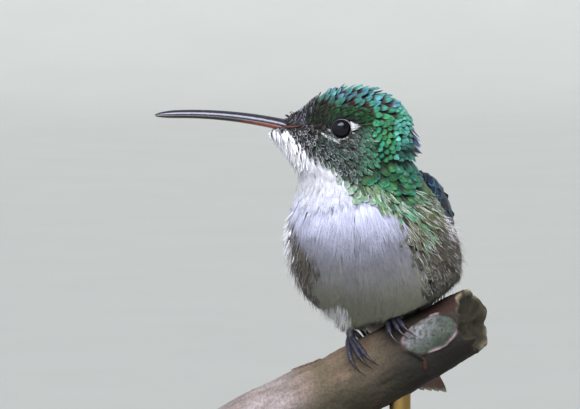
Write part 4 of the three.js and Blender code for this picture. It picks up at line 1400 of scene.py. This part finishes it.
def eyelid(side, axis, material):
    """The ring of small beads round an eyeball."""
    steps = LID_BEADS * 6
    a = np.arange(steps) * 2 * np.pi / steps
    swell = 0.5 + 0.5 * np.cos(a * LID_BEADS)
    out_from = np.cos(a)[:, None] * HEAD.forward + np.sin(a)[:, None] * HEAD.up
    corner = 1 + 0.04 * np.cos(2 * a)
    centre = EYEBALL[side] + axis * LID_OUT + out_from * (LID_RADIUS * corner)[:, None]
    width = 0.075 + 0.025 * swell
    turn = np.arange(LID_SIDES) * 2 * np.pi / LID_SIDES
    rings = (
        centre[:, None]
        + (width[:, None] * np.cos(turn))[..., None] * out_from[:, None]
        + (width[:, None] * 0.85 * np.sin(turn))[..., None] * axis
    )
    loops, starts = grid_faces(steps + 1, LID_SIDES, wrapped=True)
    if SIDES[side] < 0:  # its rings run the other way round
        loops = loops.reshape(-1, 4)[:, ::-1].ravel()
    points = rings.reshape(-1, 3)
    lid = mesh_object("eyelid_" + side, points, loops % len(points), starts)
    paler = ramp(0.2, 1.0, -np.cos(a + 0.7))[:, None]  # palest behind and below
    paint(lid, Tint=np.repeat(mix(colour(34, 31, 38), colour(132, 128, 140), paler), LID_SIDES, axis=0))
    finish_piece(lid, material)


def eyes():
    ball_shader = Shader("eye_ball", Roughness=0.05, IOR=1.45, Specular_Tint=(0.74, 0.77, 1.0, 1.0))
    brown = ball_shader.mix(ball_shader.noise(0.4), colour(3, 2, 3), colour(9, 6, 6))
    ball_shader.feed("Base Color", brown)
    lid = Shader("eye_lid", Roughness=0.55)
    lid.feed("Base Color", lid.scale(lid.attribute("Tint"), lid.mottled(0.2, 0.6, 1.3)))
    for side, sign in SIDES.items():
        eyeball(side, sign * HEAD.left, ball_shader.material)
        eyelid(side, sign * HEAD.left, lid.material)


# ---------------------------------------------------------------- wings and tail
FEATHER_THICK = 0.11
FEATHER_UNDER = 0.35  # how far a vane runs on under its neighbour, as a share of its own width
SHAFT_AT = 0.3  # share of a vane's width
FEATHER_CREASE = 50


def lapped_vane(spot, q_low, q_high, tip, camber, flip):
    """The rings of one flight feather between two shares of a fan. spot(q, t, height) is the
    fan's surface; the vane runs on under its neighbour, and narrows to a round tip."""
    by_shaft = (SHAFT_AT - 0.035, SHAFT_AT, SHAFT_AT + 0.035)
    c = np.array([0.0, 0.12, 0.24, *by_shaft, 0.6, 0.85, 1.0 + FEATHER_UNDER])
    ridge = np.array([0.0, 0.0, 0.0, 0.02, 0.09, 0.02, 0.0, 0.0, 0.0])
    blunt = 1 - tip + tip * np.sin(np.linspace(0, 1.5, 9))
    t = np.concatenate([np.linspace(0, 1 - tip, 14, endpoint=False), blunt])
    narrow = np.sqrt(np.clip(1 - (np.clip(t - 1 + tip, 0, 1) / tip) ** 2, 0.0015, 1))[:, None]
    own = SHAFT_AT + (c - SHAFT_AT) * narrow
    q = mix(q_low, q_high, 1 - own if flip else own)
    drop = (0.5 - own) * 0.3
    arch = camber * (1 - (2 * (c - 0.5)) ** 2) * narrow
    fade = ramp(1.0, 0.9, t)[:, None]
    along = np.broadcast_to(t[:, None], q.shape)
    top = spot(q, along, drop + arch + ridge * fade)
    low = spot(q, along, drop + arch - FEATHER_THICK)
    rings = np.concatenate([top, low[:, -2:0:-1]], 1)
    across = np.concatenate([c, c[-2:0:-1]]) / (1 + FEATHER_UNDER)
    return rings, np.tile(across, (len(t), 1)), np.repeat(t[:, None], rings.shape[1], 1)


def flight_feathers(
    name, spot, count, material, slot, replaces, tint, rim, tip=0.16, camber=0.1, halved=False
):
    """A fan of flight feathers in one piece, each unwrapped on a strip of its own."""
    made = []
    for n in range(count):
        flip = halved and n >= count / 2
        made.append(lapped_vane(spot, n / count, (n + 1) / count, tip, camber, flip))
    sections, across, along = (np.stack(values) for values in zip(*made))
    made = tubes(name, sections)
    made.data.set_sharp_from_angle(angle=math.radians(FEATHER_CREASE))
    vane = np.stack([across, along], -1)
    strip = (np.arange(count) + 0.1)[:, None, None] / count
    bake = np.stack([strip + vane[..., 0] * 0.8 / count, 0.02 + 0.96 * vane[..., 1]], -1)
    spread = lambda colours: np.broadcast_to(colours, sections.shape).reshape(-1, 3)
    number = np.arange(count)
    paint(made, Tint=spread(tint(number, vane)), Rim=spread(rim(number, vane)))
    unwrap(made, Vane=vane.reshape(-1, 2), OFBake=bake.reshape(-1, 2))
    finish_piece(made, material, replaces)


# The first and the last feather's root, bend and tip in the body's frame, to the left.
PRIMARY = {
    "root": ([-3.5, 5.8, 9.0], [5.5, 8.2, 4.6]),
    "bend": ([-15.0, 5.2, 9.4], [-15.0, 10.6, 4.2]),
    "tip": ([-24.0, 1.8, 8.8], [-35.8, 3.4, 6.6]),
}
SECONDARY = {
    "root": ([4.0, 7.2, 7.8], [4.0, 3.4, 9.4]),
    "bend": ([-8.0, 7.2, 8.2], [-4.0, 2.6, 10.0]),
    "tip": ([-18.0, 4.6, 8.6], [-11.5, 1.8, 9.2]),
}


def wing_surface(sign, rows, facing, level, reach=1.0):
    """The surface that a fan of a folded wing's feathers follows, as spot(q, t, height)."""
    ends = {key: [np.array(p) for p in points] for key, points in rows.items()}

    def spot(q, t, height):
        q = np.asarray(q, float)[..., None]
        t = np.asarray(t, float)[..., None]
        share = {"root": q, "bend": q, "tip": np.clip(q, 0, None) ** reach}
        a, b, c = (mix(*ends[key], share[key]) for key in ("root", "bend", "tip"))
        line = (1 - t) ** 2 * a + 2 * t * (1 - t) * b + t * t * c
        angle = np.radians(facing[0] + facing[1] * q)
        face = np.concatenate([np.zeros_like(angle), np.cos(angle), np.sin(angle)], -1)
        parts = line + face * (level + np.asarray(height, float)[..., None])
        return BODY.point(parts[..., 0], sign * parts[..., 1], parts[..., 2])

    return spot


def wing(side, sign, material, covert_material):
    dusk, ink = colour(40, 38, 52), colour(20, 20, 28)
    shade = lambda n, vane: mix(ink, dusk, (0.35 + 0.5 * vane[..., 0:1]))
    edge = lambda n, vane: mix(colour(30, 44, 70), colour(66, 78, 104), vane[..., 1:2])
    look = ("flight_feathers", ("wing_" + side,), shade, edge)
    primary = wing_surface(sign, PRIMARY, (62, -30), 0.0, 0.8)
    flight_feathers("primaries_" + side, primary, 10, material, *look, tip=0.12)
    look = ("flight_feathers", (), shade, edge)
    secondary = wing_surface(sign, SECONDARY, (62, 18), 0.35)
    flight_feathers("secondaries_" + side, secondary, 6, material, *look, tip=0.14, camber=0.05)
    wing_coverts(side, sign, covert_material)


# The shell that the coverts grow on: radii, degrees of tilt and turn, and its middle in the body's frame.
COVERTS = {"radii": (9.4, 1.9, 4.2), "tilt": -38, "turn": -9, "centre": (-0.8, 6.8, 6.1)}


def covert_colours(points, _, seed):
    rng = np.random.default_rng(seed)
    chance = rng.uniform(0, 1, (len(points), 1))
    rear = ramp(3.0, -6.0, BODY.local(points)[:, 0])[:, None]
    navy = mix(colour(20, 24, 42), colour(34, 58, 92), chance)
    tint = mix(navy, colour(15, 16, 26), rear)
    return tint, mix(colour(26, 42, 66), colour(84, 176, 198), chance**2)


def wing_coverts(side, sign, material):
    """Small feathers over the roots of the flight feathers, longer towards the wing's tip."""
    a, b = math.radians(sign * COVERTS["tilt"]), math.radians(sign * COVERTS["turn"])
    tilt = np.array([[1, 0, 0], [0, math.cos(a), -math.sin(a)], [0, math.sin(a), math.cos(a)]])
    turn = np.array([[math.cos(b), -math.sin(b), 0], [math.sin(b), math.cos(b), 0], [0, 0, 1]])
    axes = (turn @ tilt).T @ BODY.axes
    x, y, z = COVERTS["centre"]
    shell = Surface(*ball(BODY.point(x, sign * y, z), np.array(COVERTS["radii"]), axes, 40, 56))
    outward = BODY.point(0, sign, 0.9) - BODY.origin

    def heading(points, normals):
        way = np.broadcast_to(-BODY.forward - 0.12 * outward, points.shape)
        return unit(way - dot(way, normals) * normals)

    gap = lambda p: 0.8 + 0.5 * ramp(2.0, -7.0, BODY.local(p)[:, 0])
    roots = shell.scatter(gap, 8)
    _, normals = shell.nearest(roots)
    roots = roots[(normals @ unit(outward) > -0.2)]
    short = BODY.local(roots)[:, 0] > 3.5
    zones = np.where(short, ZONES.index("covert"), ZONES.index("long_covert"))
    coat = Coat("coverts_" + side, material, "flight_feathers", VANE_CREASE)
    grow_vanes(coat, shell, roots, zones, 9, heading, covert_colours)
    coat.build()


TAIL_SHAPE = {"length": 30, "feathers": 10, "root": 5.2, "tip": 11.4}


def tail(material):
    """The tail feathers, the middle pair uppermost, bronze-green with copper ends, the outer ones
    tipped with buff."""
    shape = TAIL_SHAPE
    middle = (shape["feathers"] - 1) / 2

    def spot(q, t, height):
        side = 2 * q - 1
        reach = shape["length"] * (1 - 0.04 * side**2)
        width = mix(shape["root"], shape["tip"], t)
        level = 0.8 * (1 - side**2) - 0.5 * t
        return TAIL.point(-t * reach, side * width / 2, level + height - 0.12)

    olive, bronze, buff = colour(86, 92, 54), colour(122, 96, 60), colour(206, 196, 176)

    def tint(n, vane):
        along = vane[..., 1:2]
        outer = (np.abs(n - middle) / middle)[:, None, None, None]
        body = mix(mix(olive, bronze, ramp(0.45, 0.85, along)), colour(96, 42, 25), ramp(0.74, 0.88, along))
        return mix(body, buff, 0.6 * ramp(0.95, 0.98, along) * ramp(0.2, 0.6, outer))

    rim = lambda n, vane: mix(colour(96, 80, 54), buff, 0.5 * ramp(0.92, 0.98, vane[..., 1:2]))
    look = ("tail_feathers", ("tail",), tint, rim)
    flight_feathers("tail_feathers", spot, shape["feathers"], material, *look, halved=True)


def wings_and_tail():
    flight, covert = vane_material("flight"), vane_material("covert")
    for side, sign in SIDES.items():
        wing(side, sign, flight, covert)
    tail(vane_material("tail"))


# ---------------------------------------------------------------- perch
# The branch's axis: the point from which stations along it count, its slope and yaw in degrees, the
# radius at that point and what each millimetre takes off it, and the stations of the cut end and of
# the broken end.
PERCH = {
    "centre": (-4.2, 0.8, 38.0), "slope": 28.5, "yaw": 8,
    "radius": 5.1, "taper": 0.04, "low": -21, "high": 16.9,
}
# The pale scar: where it is along and round the branch, and how far it reaches both ways.
SCAR = {"station": 11.6, "angle": 1.28, "reach": 3.95, "spread": 0.5}
BRANCH_ROWS, BRANCH_COLUMNS = 250, 190
# The broken end's rings: how far they lie past the end of the bark, and their shares of the radius
# and of the break's raggedness.
BREAK = [
    (0.2, 0.95, 1.0), (0.25, 0.86, 1.0), (-0.2, 0.76, 0.9),
    (-0.7, 0.5, 0.7), (-0.6, 0.28, 0.4), (-0.4, 0.06, 0.1),
]


def perch_axes():
    slope, yaw = math.radians(PERCH["slope"]), math.radians(PERCH["yaw"])
    along = np.array([math.cos(slope) * math.cos(yaw), -math.cos(slope) * math.sin(yaw), math.sin(slope)])
    up = unit(np.array([0, 0, 1.0]) - along[2] * along)
    front = np.cross(along, up)
    return along, up, front if front[1] < 0 else -front


PERCH_ALONG, PERCH_UP, PERCH_FRONT = perch_axes()


def perch_radius(station):
    return PERCH["radius"] - PERCH["taper"] * station


def around_perch(station, angle, radius):
    """Points at a station along the perch, at an angle from its top towards the front."""
    station, angle, radius = (np.asarray(v, float)[..., None] for v in (station, angle, radius))
    ring = np.cos(angle) * PERCH_UP + np.sin(angle) * PERCH_FRONT
    return np.array(PERCH["centre"]) + station * PERCH_ALONG + radius * ring


def broken_edge(angle):
    """How far the broken end reaches at angles round the branch: least in front, with a spur."""
    slant = 0.9 * np.cos(angle) - 1.5 * np.sin(angle)
    return slant + 0.22 * np.sin(5 * angle + 2) + 0.14 * np.sin(11 * angle) + 1.6 * bump(angle, 2.15, 0.13)


def branch_bark():
    """The bark's points by rows and columns, and each one's station, angle, and share in the scar,
    the scar's rim and the loose flake."""
    share = np.linspace(0, 1, BRANCH_ROWS)[:, None]
    angle = np.arange(BRANCH_COLUMNS)[None] * 2 * np.pi / BRANCH_COLUMNS - np.pi
    station = mix(PERCH["low"] + 0.3, PERCH["high"], share) + 0 * angle
    station = station + share**8 * broken_edge(angle)
    angle = angle + 0 * share
    bare = around_perch(station, angle, perch_radius(station))
    away = np.hypot((station - SCAR["station"]) / SCAR["reach"], (angle - SCAR["angle"]) / SCAR["spread"])
    away = away + 0.08 * noise(bare, 1.6, 3)
    inside = ramp(1.06, 0.94, away)
    rim = bump(away, 1.07, 0.075)
    lumps = 0.1 * np.sin(2 * angle + station * 0.35) + 0.07 * np.sin(3 * angle - station * 0.8 + 1)
    stretched = bare @ np.array([PERCH_ALONG * 0.45, PERCH_UP, PERCH_FRONT]).T
    rough = 0.10 * noise(stretched, 1.5, 4) + 0.07 * noise(stretched, 0.6, 5) + 0.04 * noise(bare, 0.3, 6)
    flake = ramp(2.3, 2.1, np.abs(station + 6.8)) * ramp(0.30, 0.27, np.abs(angle - 0.05 - 0.04 * station))
    radius = perch_radius(station) + lumps + rough * (1 - 0.7 * inside) + 0.24 * rim - 0.14 * inside
    radius = radius + 0.05 * noise(bare, 0.5, 7) * inside + 0.24 * flake
    return around_perch(station, angle, radius), station, angle, inside, rim, flake


def branch_tint(points, station, angle, inside, rim, flake, row, cut, broken):
    """The branch's colours: bark with painted shade underneath, beyond the bird and round the left foot,
    then flake and scar, the scar's upper side lighter by painted light, and wood at both ends.
    """
    break_row = row[broken].min()
    stretched = points @ np.array([PERCH_ALONG * 0.25, PERCH_UP, PERCH_FRONT]).T
    cloud = lambda size, seed: 0.5 + 0.5 * noise(points, size, seed)[:, None]
    streak = lambda size, seed: 0.5 + 0.5 * noise(stretched, size, seed)[:, None]
    # where painted shade darkens the branch: underneath, and along its far part in the bird's shadow
    shade_under = ramp(0.9, 1.9, np.abs(angle - 0.1))
    far = ramp(2, 11, station)
    tint = mix(colour(150, 128, 108), colour(112, 90, 74), streak(1.3, 9))
    tint = mix(tint, colour(98, 92, 68), 0.5 * ramp(0.45, 0.8, cloud(2.6, 10)))
    # paler, pinkish bark towards the cut end, except underneath
    paler = ramp(-4, -14, station) * (1 - shade_under)
    tint = mix(tint, colour(204, 190, 196), paler * (0.35 + 0.65 * streak(0.9, 17)))
    tint = mix(tint, colour(70, 60, 46), 0.35 * ramp(0.55, 0.85, streak(0.5, 11)))
    # painted shade, dark olive, underneath and in the bird's shadow
    tint = mix(tint, colour(44, 44, 28), np.maximum(0.85 * shade_under, 0.9 * far))
    # more painted shade, on the branch's sides and underside towards the broken end
    tint = mix(tint, colour(20, 17, 12), 0.85 * ramp(0, 8, station) * ramp(0.7, 1.6, np.abs(angle)))
    foot_shadow = bump(station, 7.0, 2.6) * ramp(1.5, 0.9, angle)  # painted shadow round the left foot, beside the scar
    tint = mix(tint, colour(38, 28, 24), 0.9 * foot_shadow)
    arch = bump(station, SCAR["station"] + 3.0, 2.7) * bump(angle, 0.55, 0.36)  # above the scar
    tint = mix(tint, colour(60, 24, 22), 0.95 * np.clip(2.6 * arch, 0, 1) * (1 - 0.35 * cloud(0.8, 23)))
    tint = mix(tint, mix(colour(120, 84, 54), colour(172, 146, 124), streak(0.4, 18)), 0.8 * flake)
    tint = mix(tint, colour(52, 36, 26), 0.8 * 4 * flake * (1 - flake))

    lit = ramp(SCAR["angle"] + 0.4, SCAR["angle"] - 0.4, angle) * ramp(4, -3, station - SCAR["station"])
    heal = mix(colour(50, 62, 50), colour(92, 100, 92), cloud(0.7, 12))
    heal = mix(heal, colour(204, 204, 216), 0.95 * lit * cloud(0.4, 19))
    heal = mix(heal, colour(30, 28, 28), ramp(0.8, 0.9, cloud(0.3, 20)))
    tint = mix(tint, heal, inside)
    healed = ramp(0.4, 0.6, cloud(1.3, 13))
    tint = mix(tint, mix(colour(204, 176, 188), colour(76, 54, 46), healed), rim * mix(0.75, 0.4, healed))

    wood = mix(colour(66, 58, 34), colour(26, 22, 14), cloud(0.8, 14))
    crisp = ramp(break_row + 1.6, break_row + 0.2, row) * ramp(1.2, 0.5, angle)
    wood = mix(wood, colour(226, 212, 172), 0.9 * crisp * cloud(0.8, 21))
    tint = 0.68 * np.where(broken, wood, tint)
    growth = 0.5 + 0.5 * np.sin(row * 1.9 + 2 * cloud(2.5, 24))
    return np.where(cut, mix(colour(188, 168, 128), colour(146, 120, 82), growth * cloud(0.6, 25)), tint)


def perch():
    """The branch, with its bark, the pale scar of a side shoot and a ragged broken end."""
    bark, station, angle, inside, rim, flake = branch_bark()
    around = angle[-1]
    low, high = PERCH["low"], PERCH["high"]
    shares = np.append(np.linspace(0.02, 0.93, 24), 0.97)
    low_end = [around_perch(np.full(BRANCH_COLUMNS, low), around, perch_radius(low) * k) for k in shares]
    high_end = []
    for rise, scale, jag in BREAK:
        at = high + rise + jag * broken_edge(around)
        ring = around_perch(at, around, perch_radius(at) * scale)
        high_end.append(ring + PERCH_ALONG * (0.25 * noise(ring, 0.8, 8))[:, None])
    rings = np.concatenate([np.stack(low_end), bark, np.stack(high_end)])
    made = tubes("branch", rings[None])

    first, last = len(low_end), len(high_end)

    def ended(values, at_low, at_high):
        """Values of the bark's points with those of both ends, in a column."""
        ends = [np.broadcast_to(v, (n, BRANCH_COLUMNS)) for v, n in ((at_low, first), (at_high, last))]
        return np.concatenate([ends[0], values, ends[1]]).reshape(-1, 1)

    row = np.repeat(np.arange(len(rings)), BRANCH_COLUMNS)[:, None]
    on_bark = (ended(values, 0, 0) for values in (inside, rim, flake))
    station, angle = ended(station, low, high + 1), ended(angle, around, around)
    cut, broken = row < first - 1, row >= first + BRANCH_ROWS
    paint(made, Tint=branch_tint(rings.reshape(-1, 3), station, angle, *on_bark, row, cut, broken))
    s = Shader("bark", Roughness=0.82)
    fine = s.noise(0.35, 5.0, 0.65)
    s.feed("Base Color", s.scale(s.attribute("Tint"), s.ramp(fine, 0.25, 0.75, 0.6, 1.25)))
    s.feed("Normal", s.bump(fine, 0.12, 0.9))
    finish_piece(made, s.material, ("perch",))
    twig()


# A stub of twig on the branch, from its thin point to its foot: stations, angles round the branch,
# heights over it and half thicknesses.
TWIG = {
    "station": (7.6, 8.6, 9.2, 8.3), "angle": (1.42, 1.66, 1.90, 2.30), "lift": (0.5, 0.3, 0.1, 0.0),
    "radius": (0.05, 0.22, 0.24, 0.30),
}
TWIG_SIDES = 16


def twig():
    """A thin broken twig that lies below the scar, dark at its point and red where its bark is off."""
    t = np.linspace(0, 1, 40)
    knots = np.linspace(0, 1, 4)
    run = {key: np.interp(t, knots, values) for key, values in TWIG.items()}
    radius = run["radius"] * (1 + 0.12 * np.sin(17 * t))
    radius = radius * np.sqrt(np.clip(1 - ramp(0.9, 1.02, t), 0.05, 1))
    centres = around_perch(run["station"], run["angle"], perch_radius(run["station"]) + run["lift"])
    for _ in range(3):
        centres[1:-1] = (centres[:-2] + 2 * centres[1:-1] + centres[2:]) / 4
    ways = slope_of(centres)
    out = unit(-ways[:, [2, 0, 1]] + dot(ways[:, [2, 0, 1]], ways) * ways)
    made = tubes("twig", swept_rings(centres, out, ways, radius, radius, TWIG_SIDES)[None])
    red = ramp(0.5, 0.62, t)[:, None] * ramp(1.0, 0.85, t)[:, None]
    paint(made, Tint=np.repeat(mix(colour(18, 14, 13), colour(64, 34, 28), red), TWIG_SIDES, axis=0))
    s = Shader("twig_bark", Roughness=0.8)
    grain = s.noise(0.25)
    s.feed("Base Color", s.scale(s.attribute("Tint"), s.ramp(grain, 0.3, 0.7, 0.6, 1.25)))
    s.feed("Normal", s.bump(grain, 0.06))
    finish_piece(made, s.material)


# ---------------------------------------------------------------- feet
# Each foot's place along the perch, the angle from its top at which its toes start and how far
# they reach round it, in degrees; the share of a toe that its claw takes, a toe's radius, and how
# far along the perch the front toes lean.
FOOT = {
    "stations": {"right": 1.0, "left": 7.5},
    "start": {"right": 16, "left": 6},
    "reach": {"right": 72, "left": 68},
    "hind_reach": 96,
    "claw_share": 0.36,
    "radius": 0.38,
    "spread": (-1.35, 0.15, 1.15),
}
SCUTES, SHANK_SCUTES = 13, 9  # along a toe and along a shank
ANKLE = np.array([-0.5, 1.6, 5.2])  # from the sole


def toe_rings(station, lean, start, reach, t, radius, sides):
    """Rings of a toe, or of its claw, laid round the perch for shares t of its way."""
    angle = np.radians(start + reach * t)
    lift = radius + 0.55 + 0.5 * np.sin(np.pi * t)
    hook = np.clip((t - 0.6) / 0.4, 0, 1) ** 2
    along = station + lean * (0.22 + 0.78 * np.sin(t * np.pi / 2) ** 1.4) + 0.5 * t + 0.9 * hook
    centres = around_perch(along, angle, perch_radius(along) + lift)
    ways = slope_of(centres)
    axis = np.array(PERCH["centre"]) + along[:, None] * PERCH_ALONG
    out = unit(centres - axis)
    out = unit(out - dot(out, ways) * ways)
    return swept_rings(centres, out, ways, radius, radius * 1.05, sides)


def foot(side, skin, horn):
    station, top = FOOT["stations"][side], FOOT["start"][side]
    hind = top + 4  # where the hind toe starts and the shank stands
    all_toes = [(lean, top, FOOT["reach"][side]) for lean in FOOT["spread"]]
    all_toes.append((0.0, hind, -FOOT["hind_reach"]))
    claw_at = 1 - FOOT["claw_share"]
    toes, claws = [], []
    for lean, start, sweep in all_toes:
        t = np.linspace(0, claw_at + 0.04, 79)
        phase = (t * SCUTES / claw_at) % 1.0
        scute = 1 + 0.10 * (1 - phase) ** 0.6 - 0.12 * bump(phase, 0.97, 0.06)
        taper = 1 - 0.12 * t / claw_at
        closing = np.sqrt(np.clip(1 - ramp(claw_at - 0.02, claw_at + 0.05, t), 0.03, 1))
        toes.append(toe_rings(station, lean, start, sweep, t, FOOT["radius"] * taper * scute * closing, 12))
        t = np.linspace(claw_at - 0.02, 1.0, 26)
        share = (t - claw_at) / FOOT["claw_share"]
        radius = FOOT["radius"] * 0.66 * np.clip(1 - np.clip(share, 0, 1) ** 1.1, 0.04, 1)
        claws.append(toe_rings(station, lean, start, sweep, t, radius, 10))
    finish_piece(tubes("toes_" + side, np.stack(toes)), skin, ("leg_" + side,))
    finish_piece(tubes("claws_" + side, np.stack(claws)), horn)

    sole = around_perch(station, math.radians(hind), perch_radius(station) + 1.0)
    t = np.linspace(0, 1, 60)
    centres = mix(sole, sole + ANKLE, t[:, None])
    phase = (t * SHANK_SCUTES) % 1.0
    radius = (0.56 - 0.10 * t) * (1 + 0.08 * (1 - phase) ** 0.6)
    ways = slope_of(centres)
    front = np.array([0, -1.0, 0])
    out = unit(front - dot(front, ways) * ways)
    rings = swept_rings(centres, out, ways, radius, radius * 0.95, 14)
    finish_piece(tubes("shank_" + side, rings[None]), skin)


def feet():
    skin = Shader("foot_skin", Roughness=0.5)
    skin.feed("Base Color", skin.mix(skin.mottled(0.3), colour(19, 18, 27), colour(54, 52, 72)))
    skin.feed("Normal", skin.bump(skin.noise(0.12), 0.03))
    horn = Shader("claw_horn", Roughness=0.3)
    horn.feed("Base Color", horn.mix(horn.noise(0.4), colour(14, 12, 16), colour(38, 34, 42)))
    for side in SIDES:
        foot(side, skin.material, horn.material)


# ---------------------------------------------------------------- stand
STAND_CREASE = 35


def revolved(name, profile, middle, sides):
    """A closed solid of revolution about the vertical through middle, from (radius, z) points."""
    profile = np.array(profile, float)
    a = np.arange(sides) * 2 * np.pi / sides
    ring = np.stack([np.cos(a), np.sin(a), 0 * a], -1)
    rings = profile[:, :1, None] * ring + np.array([*middle, 0])
    rings = rings + profile[:, 1:, None] * np.array([0, 0, 1.0])
    made = tubes(name, rings[None])
    made.data.set_sharp_from_angle(angle=math.radians(STAND_CREASE))
    return made


def stand():
    """The wooden base, with a rounded edge and a turned groove, and the brass rod."""
    low, high = box_of("stand_base")
    radius, height = (high[0] - low[0]) / 2, high[2]
    edge = 0.9
    profile = [(0.2, 0), (radius - 0.4, 0), (radius, 0.4)]
    for a in (math.radians(d) for d in range(0, 91, 10)):
        profile.append((radius - edge * (1 - math.cos(a)), height - edge * (1 - math.sin(a))))
    groove = [(radius - 3.2, height), (radius - 3.5, height - 0.25), (radius - 3.8, height)]
    profile += groove + [(0.2, height)]
    base = revolved("stand_base_wood", profile, (0, 0), 192)
    s = Shader("turned_wood", Roughness=0.36, Coat_Weight=0.3, Coat_Roughness=0.2)
    place = s.node("TexCoord").outputs["Object"]
    squeezed = s.node("Mapping", {"Vector": place, "Scale": (1.0, 0.08, 1.0)}).outputs[0]
    look = {"Vector": squeezed, "Scale": 900.0, "Detail": 5.0, "Distortion": 0.6}
    grain = s.node("TexNoise", look).outputs["Fac"]
    s.feed("Base Color", s.mix(s.ramp(grain, 0.35, 0.65), colour(62, 38, 26), colour(88, 56, 38)))
    s.feed("Normal", s.bump(grain, 0.03))
    finish_piece(base, s.material, ("stand_base",))

    low, high = box_of("stand_rod")
    middle, radius = ((low + high) / 2)[:2], (high[0] - low[0]) / 2
    profile = [(0.1, low[2]), (radius, low[2]), (radius, high[2] - 0.2)]
    profile += [(radius - 0.2, high[2]), (0.1, high[2])]
    rod = revolved("stand_rod_brass", profile, middle, 48)
    s = Shader("brass", Metallic=1.0)
    s.feed("Base Color", s.mix(s.noise(3.0), colour(150, 122, 72), colour(166, 138, 86)))
    s.feed("Roughness", s.mottled(2.0, 0.34, 0.42))
    finish_piece(rod, s.material, ("stand_rod",))


# ---------------------------------------------------------------- stage, light and camera
FLOOR = {"half": 2600, "front": -1500, "bend": 1400, "radius": 600, "top": 2400, "lines": 30}


def stage():
    """A pale floor that sweeps up into a backdrop far behind."""
    bend, radius, lines = FLOOR["bend"], FLOOR["radius"], FLOOR["lines"]
    a = np.radians(np.arange(5, 91, 5))
    depth = [np.linspace(FLOOR["front"], bend, lines), bend + radius * np.sin(a), [bend + radius]]
    rise = [np.zeros(lines), radius * (1 - np.cos(a)), [FLOOR["top"]]]
    x, y = np.meshgrid(np.linspace(-FLOOR["half"], FLOOR["half"], lines), np.concatenate(depth))
    z = np.repeat(np.concatenate(rise)[:, None], lines, axis=1)
    loops, starts = grid_faces(len(y), lines)
    floor = mesh_object("floor", np.stack([x, y, z], -1).reshape(-1, 3), loops, starts)
    s = Shader("floor_paper", Roughness=0.9)
    s.feed("Base Color", s.mix(s.noise(40.0), colour(168, 170, 168), colour(174, 176, 174)))
    floor.data.materials.append(s.material)


# Distant lights: name, the way to them, strength, width in degrees, and colour.
SUNS = [
    ("key", (0.05, -0.75, 0.66), 3.2, 40, (0.98, 0.99, 1.0)),
    ("window", (-0.34, -0.74, 0.56), 0.8, 17, (0.96, 0.98, 1.0)),
    ("fill", (-0.70, -0.70, 0.05), 1.3, 120, (0.94, 0.97, 1.0)),
    ("rim", (0.45, 0.70, 0.60), 1.3, 30, (1.0, 1.0, 1.0)),
]
WORLD = {"Color": (0.92, 0.95, 1.0, 1), "Strength": 0.37}


def light():
    world = bpy.data.worlds.new("studio")
    bpy.context.scene.world = world
    world.use_nodes = True
    for socket, value in WORLD.items():
        world.node_tree.nodes["Background"].inputs[socket].default_value = value
    for name, way_to, strength, width, tint in SUNS:
        data = bpy.data.lights.new(name, "SUN")
        data.energy, data.angle, data.color = strength, math.radians(width), tint
        in_scene(name, data).rotation_euler = Vector(way_to).to_track_quat("Z", "Y").to_euler()


CAMERA = {"lens": 300, "sensor": 36, "elevation": 4, "distance": 676.7, "target": (-14.84, 0, 62.29)}


def camera():
    data = bpy.data.cameras.new("camera")
    data.lens, data.sensor_width = CAMERA["lens"], CAMERA["sensor"]
    data.clip_start, data.clip_end = 0.01, 20
    made = in_scene("camera", data)
    elevation = math.radians(CAMERA["elevation"])
    back = np.array([0, -math.cos(elevation), math.sin(elevation)])
    made.location = Vector(np.array(CAMERA["target"]) + CAMERA["distance"] * back) * MM
    made.rotation_euler = (math.pi / 2 - elevation, 0, 0)
    bpy.context.scene.camera = made


def main():
    bpy.context.scene.view_settings.view_transform = "Standard"
    camera()
    light()
    stage()
    form = plumage_form()
    skin_piece(form)
    plumage(form)
    bill(form)
    eyes()
    wings_and_tail()
    perch()
    feet()
    stand()


main()
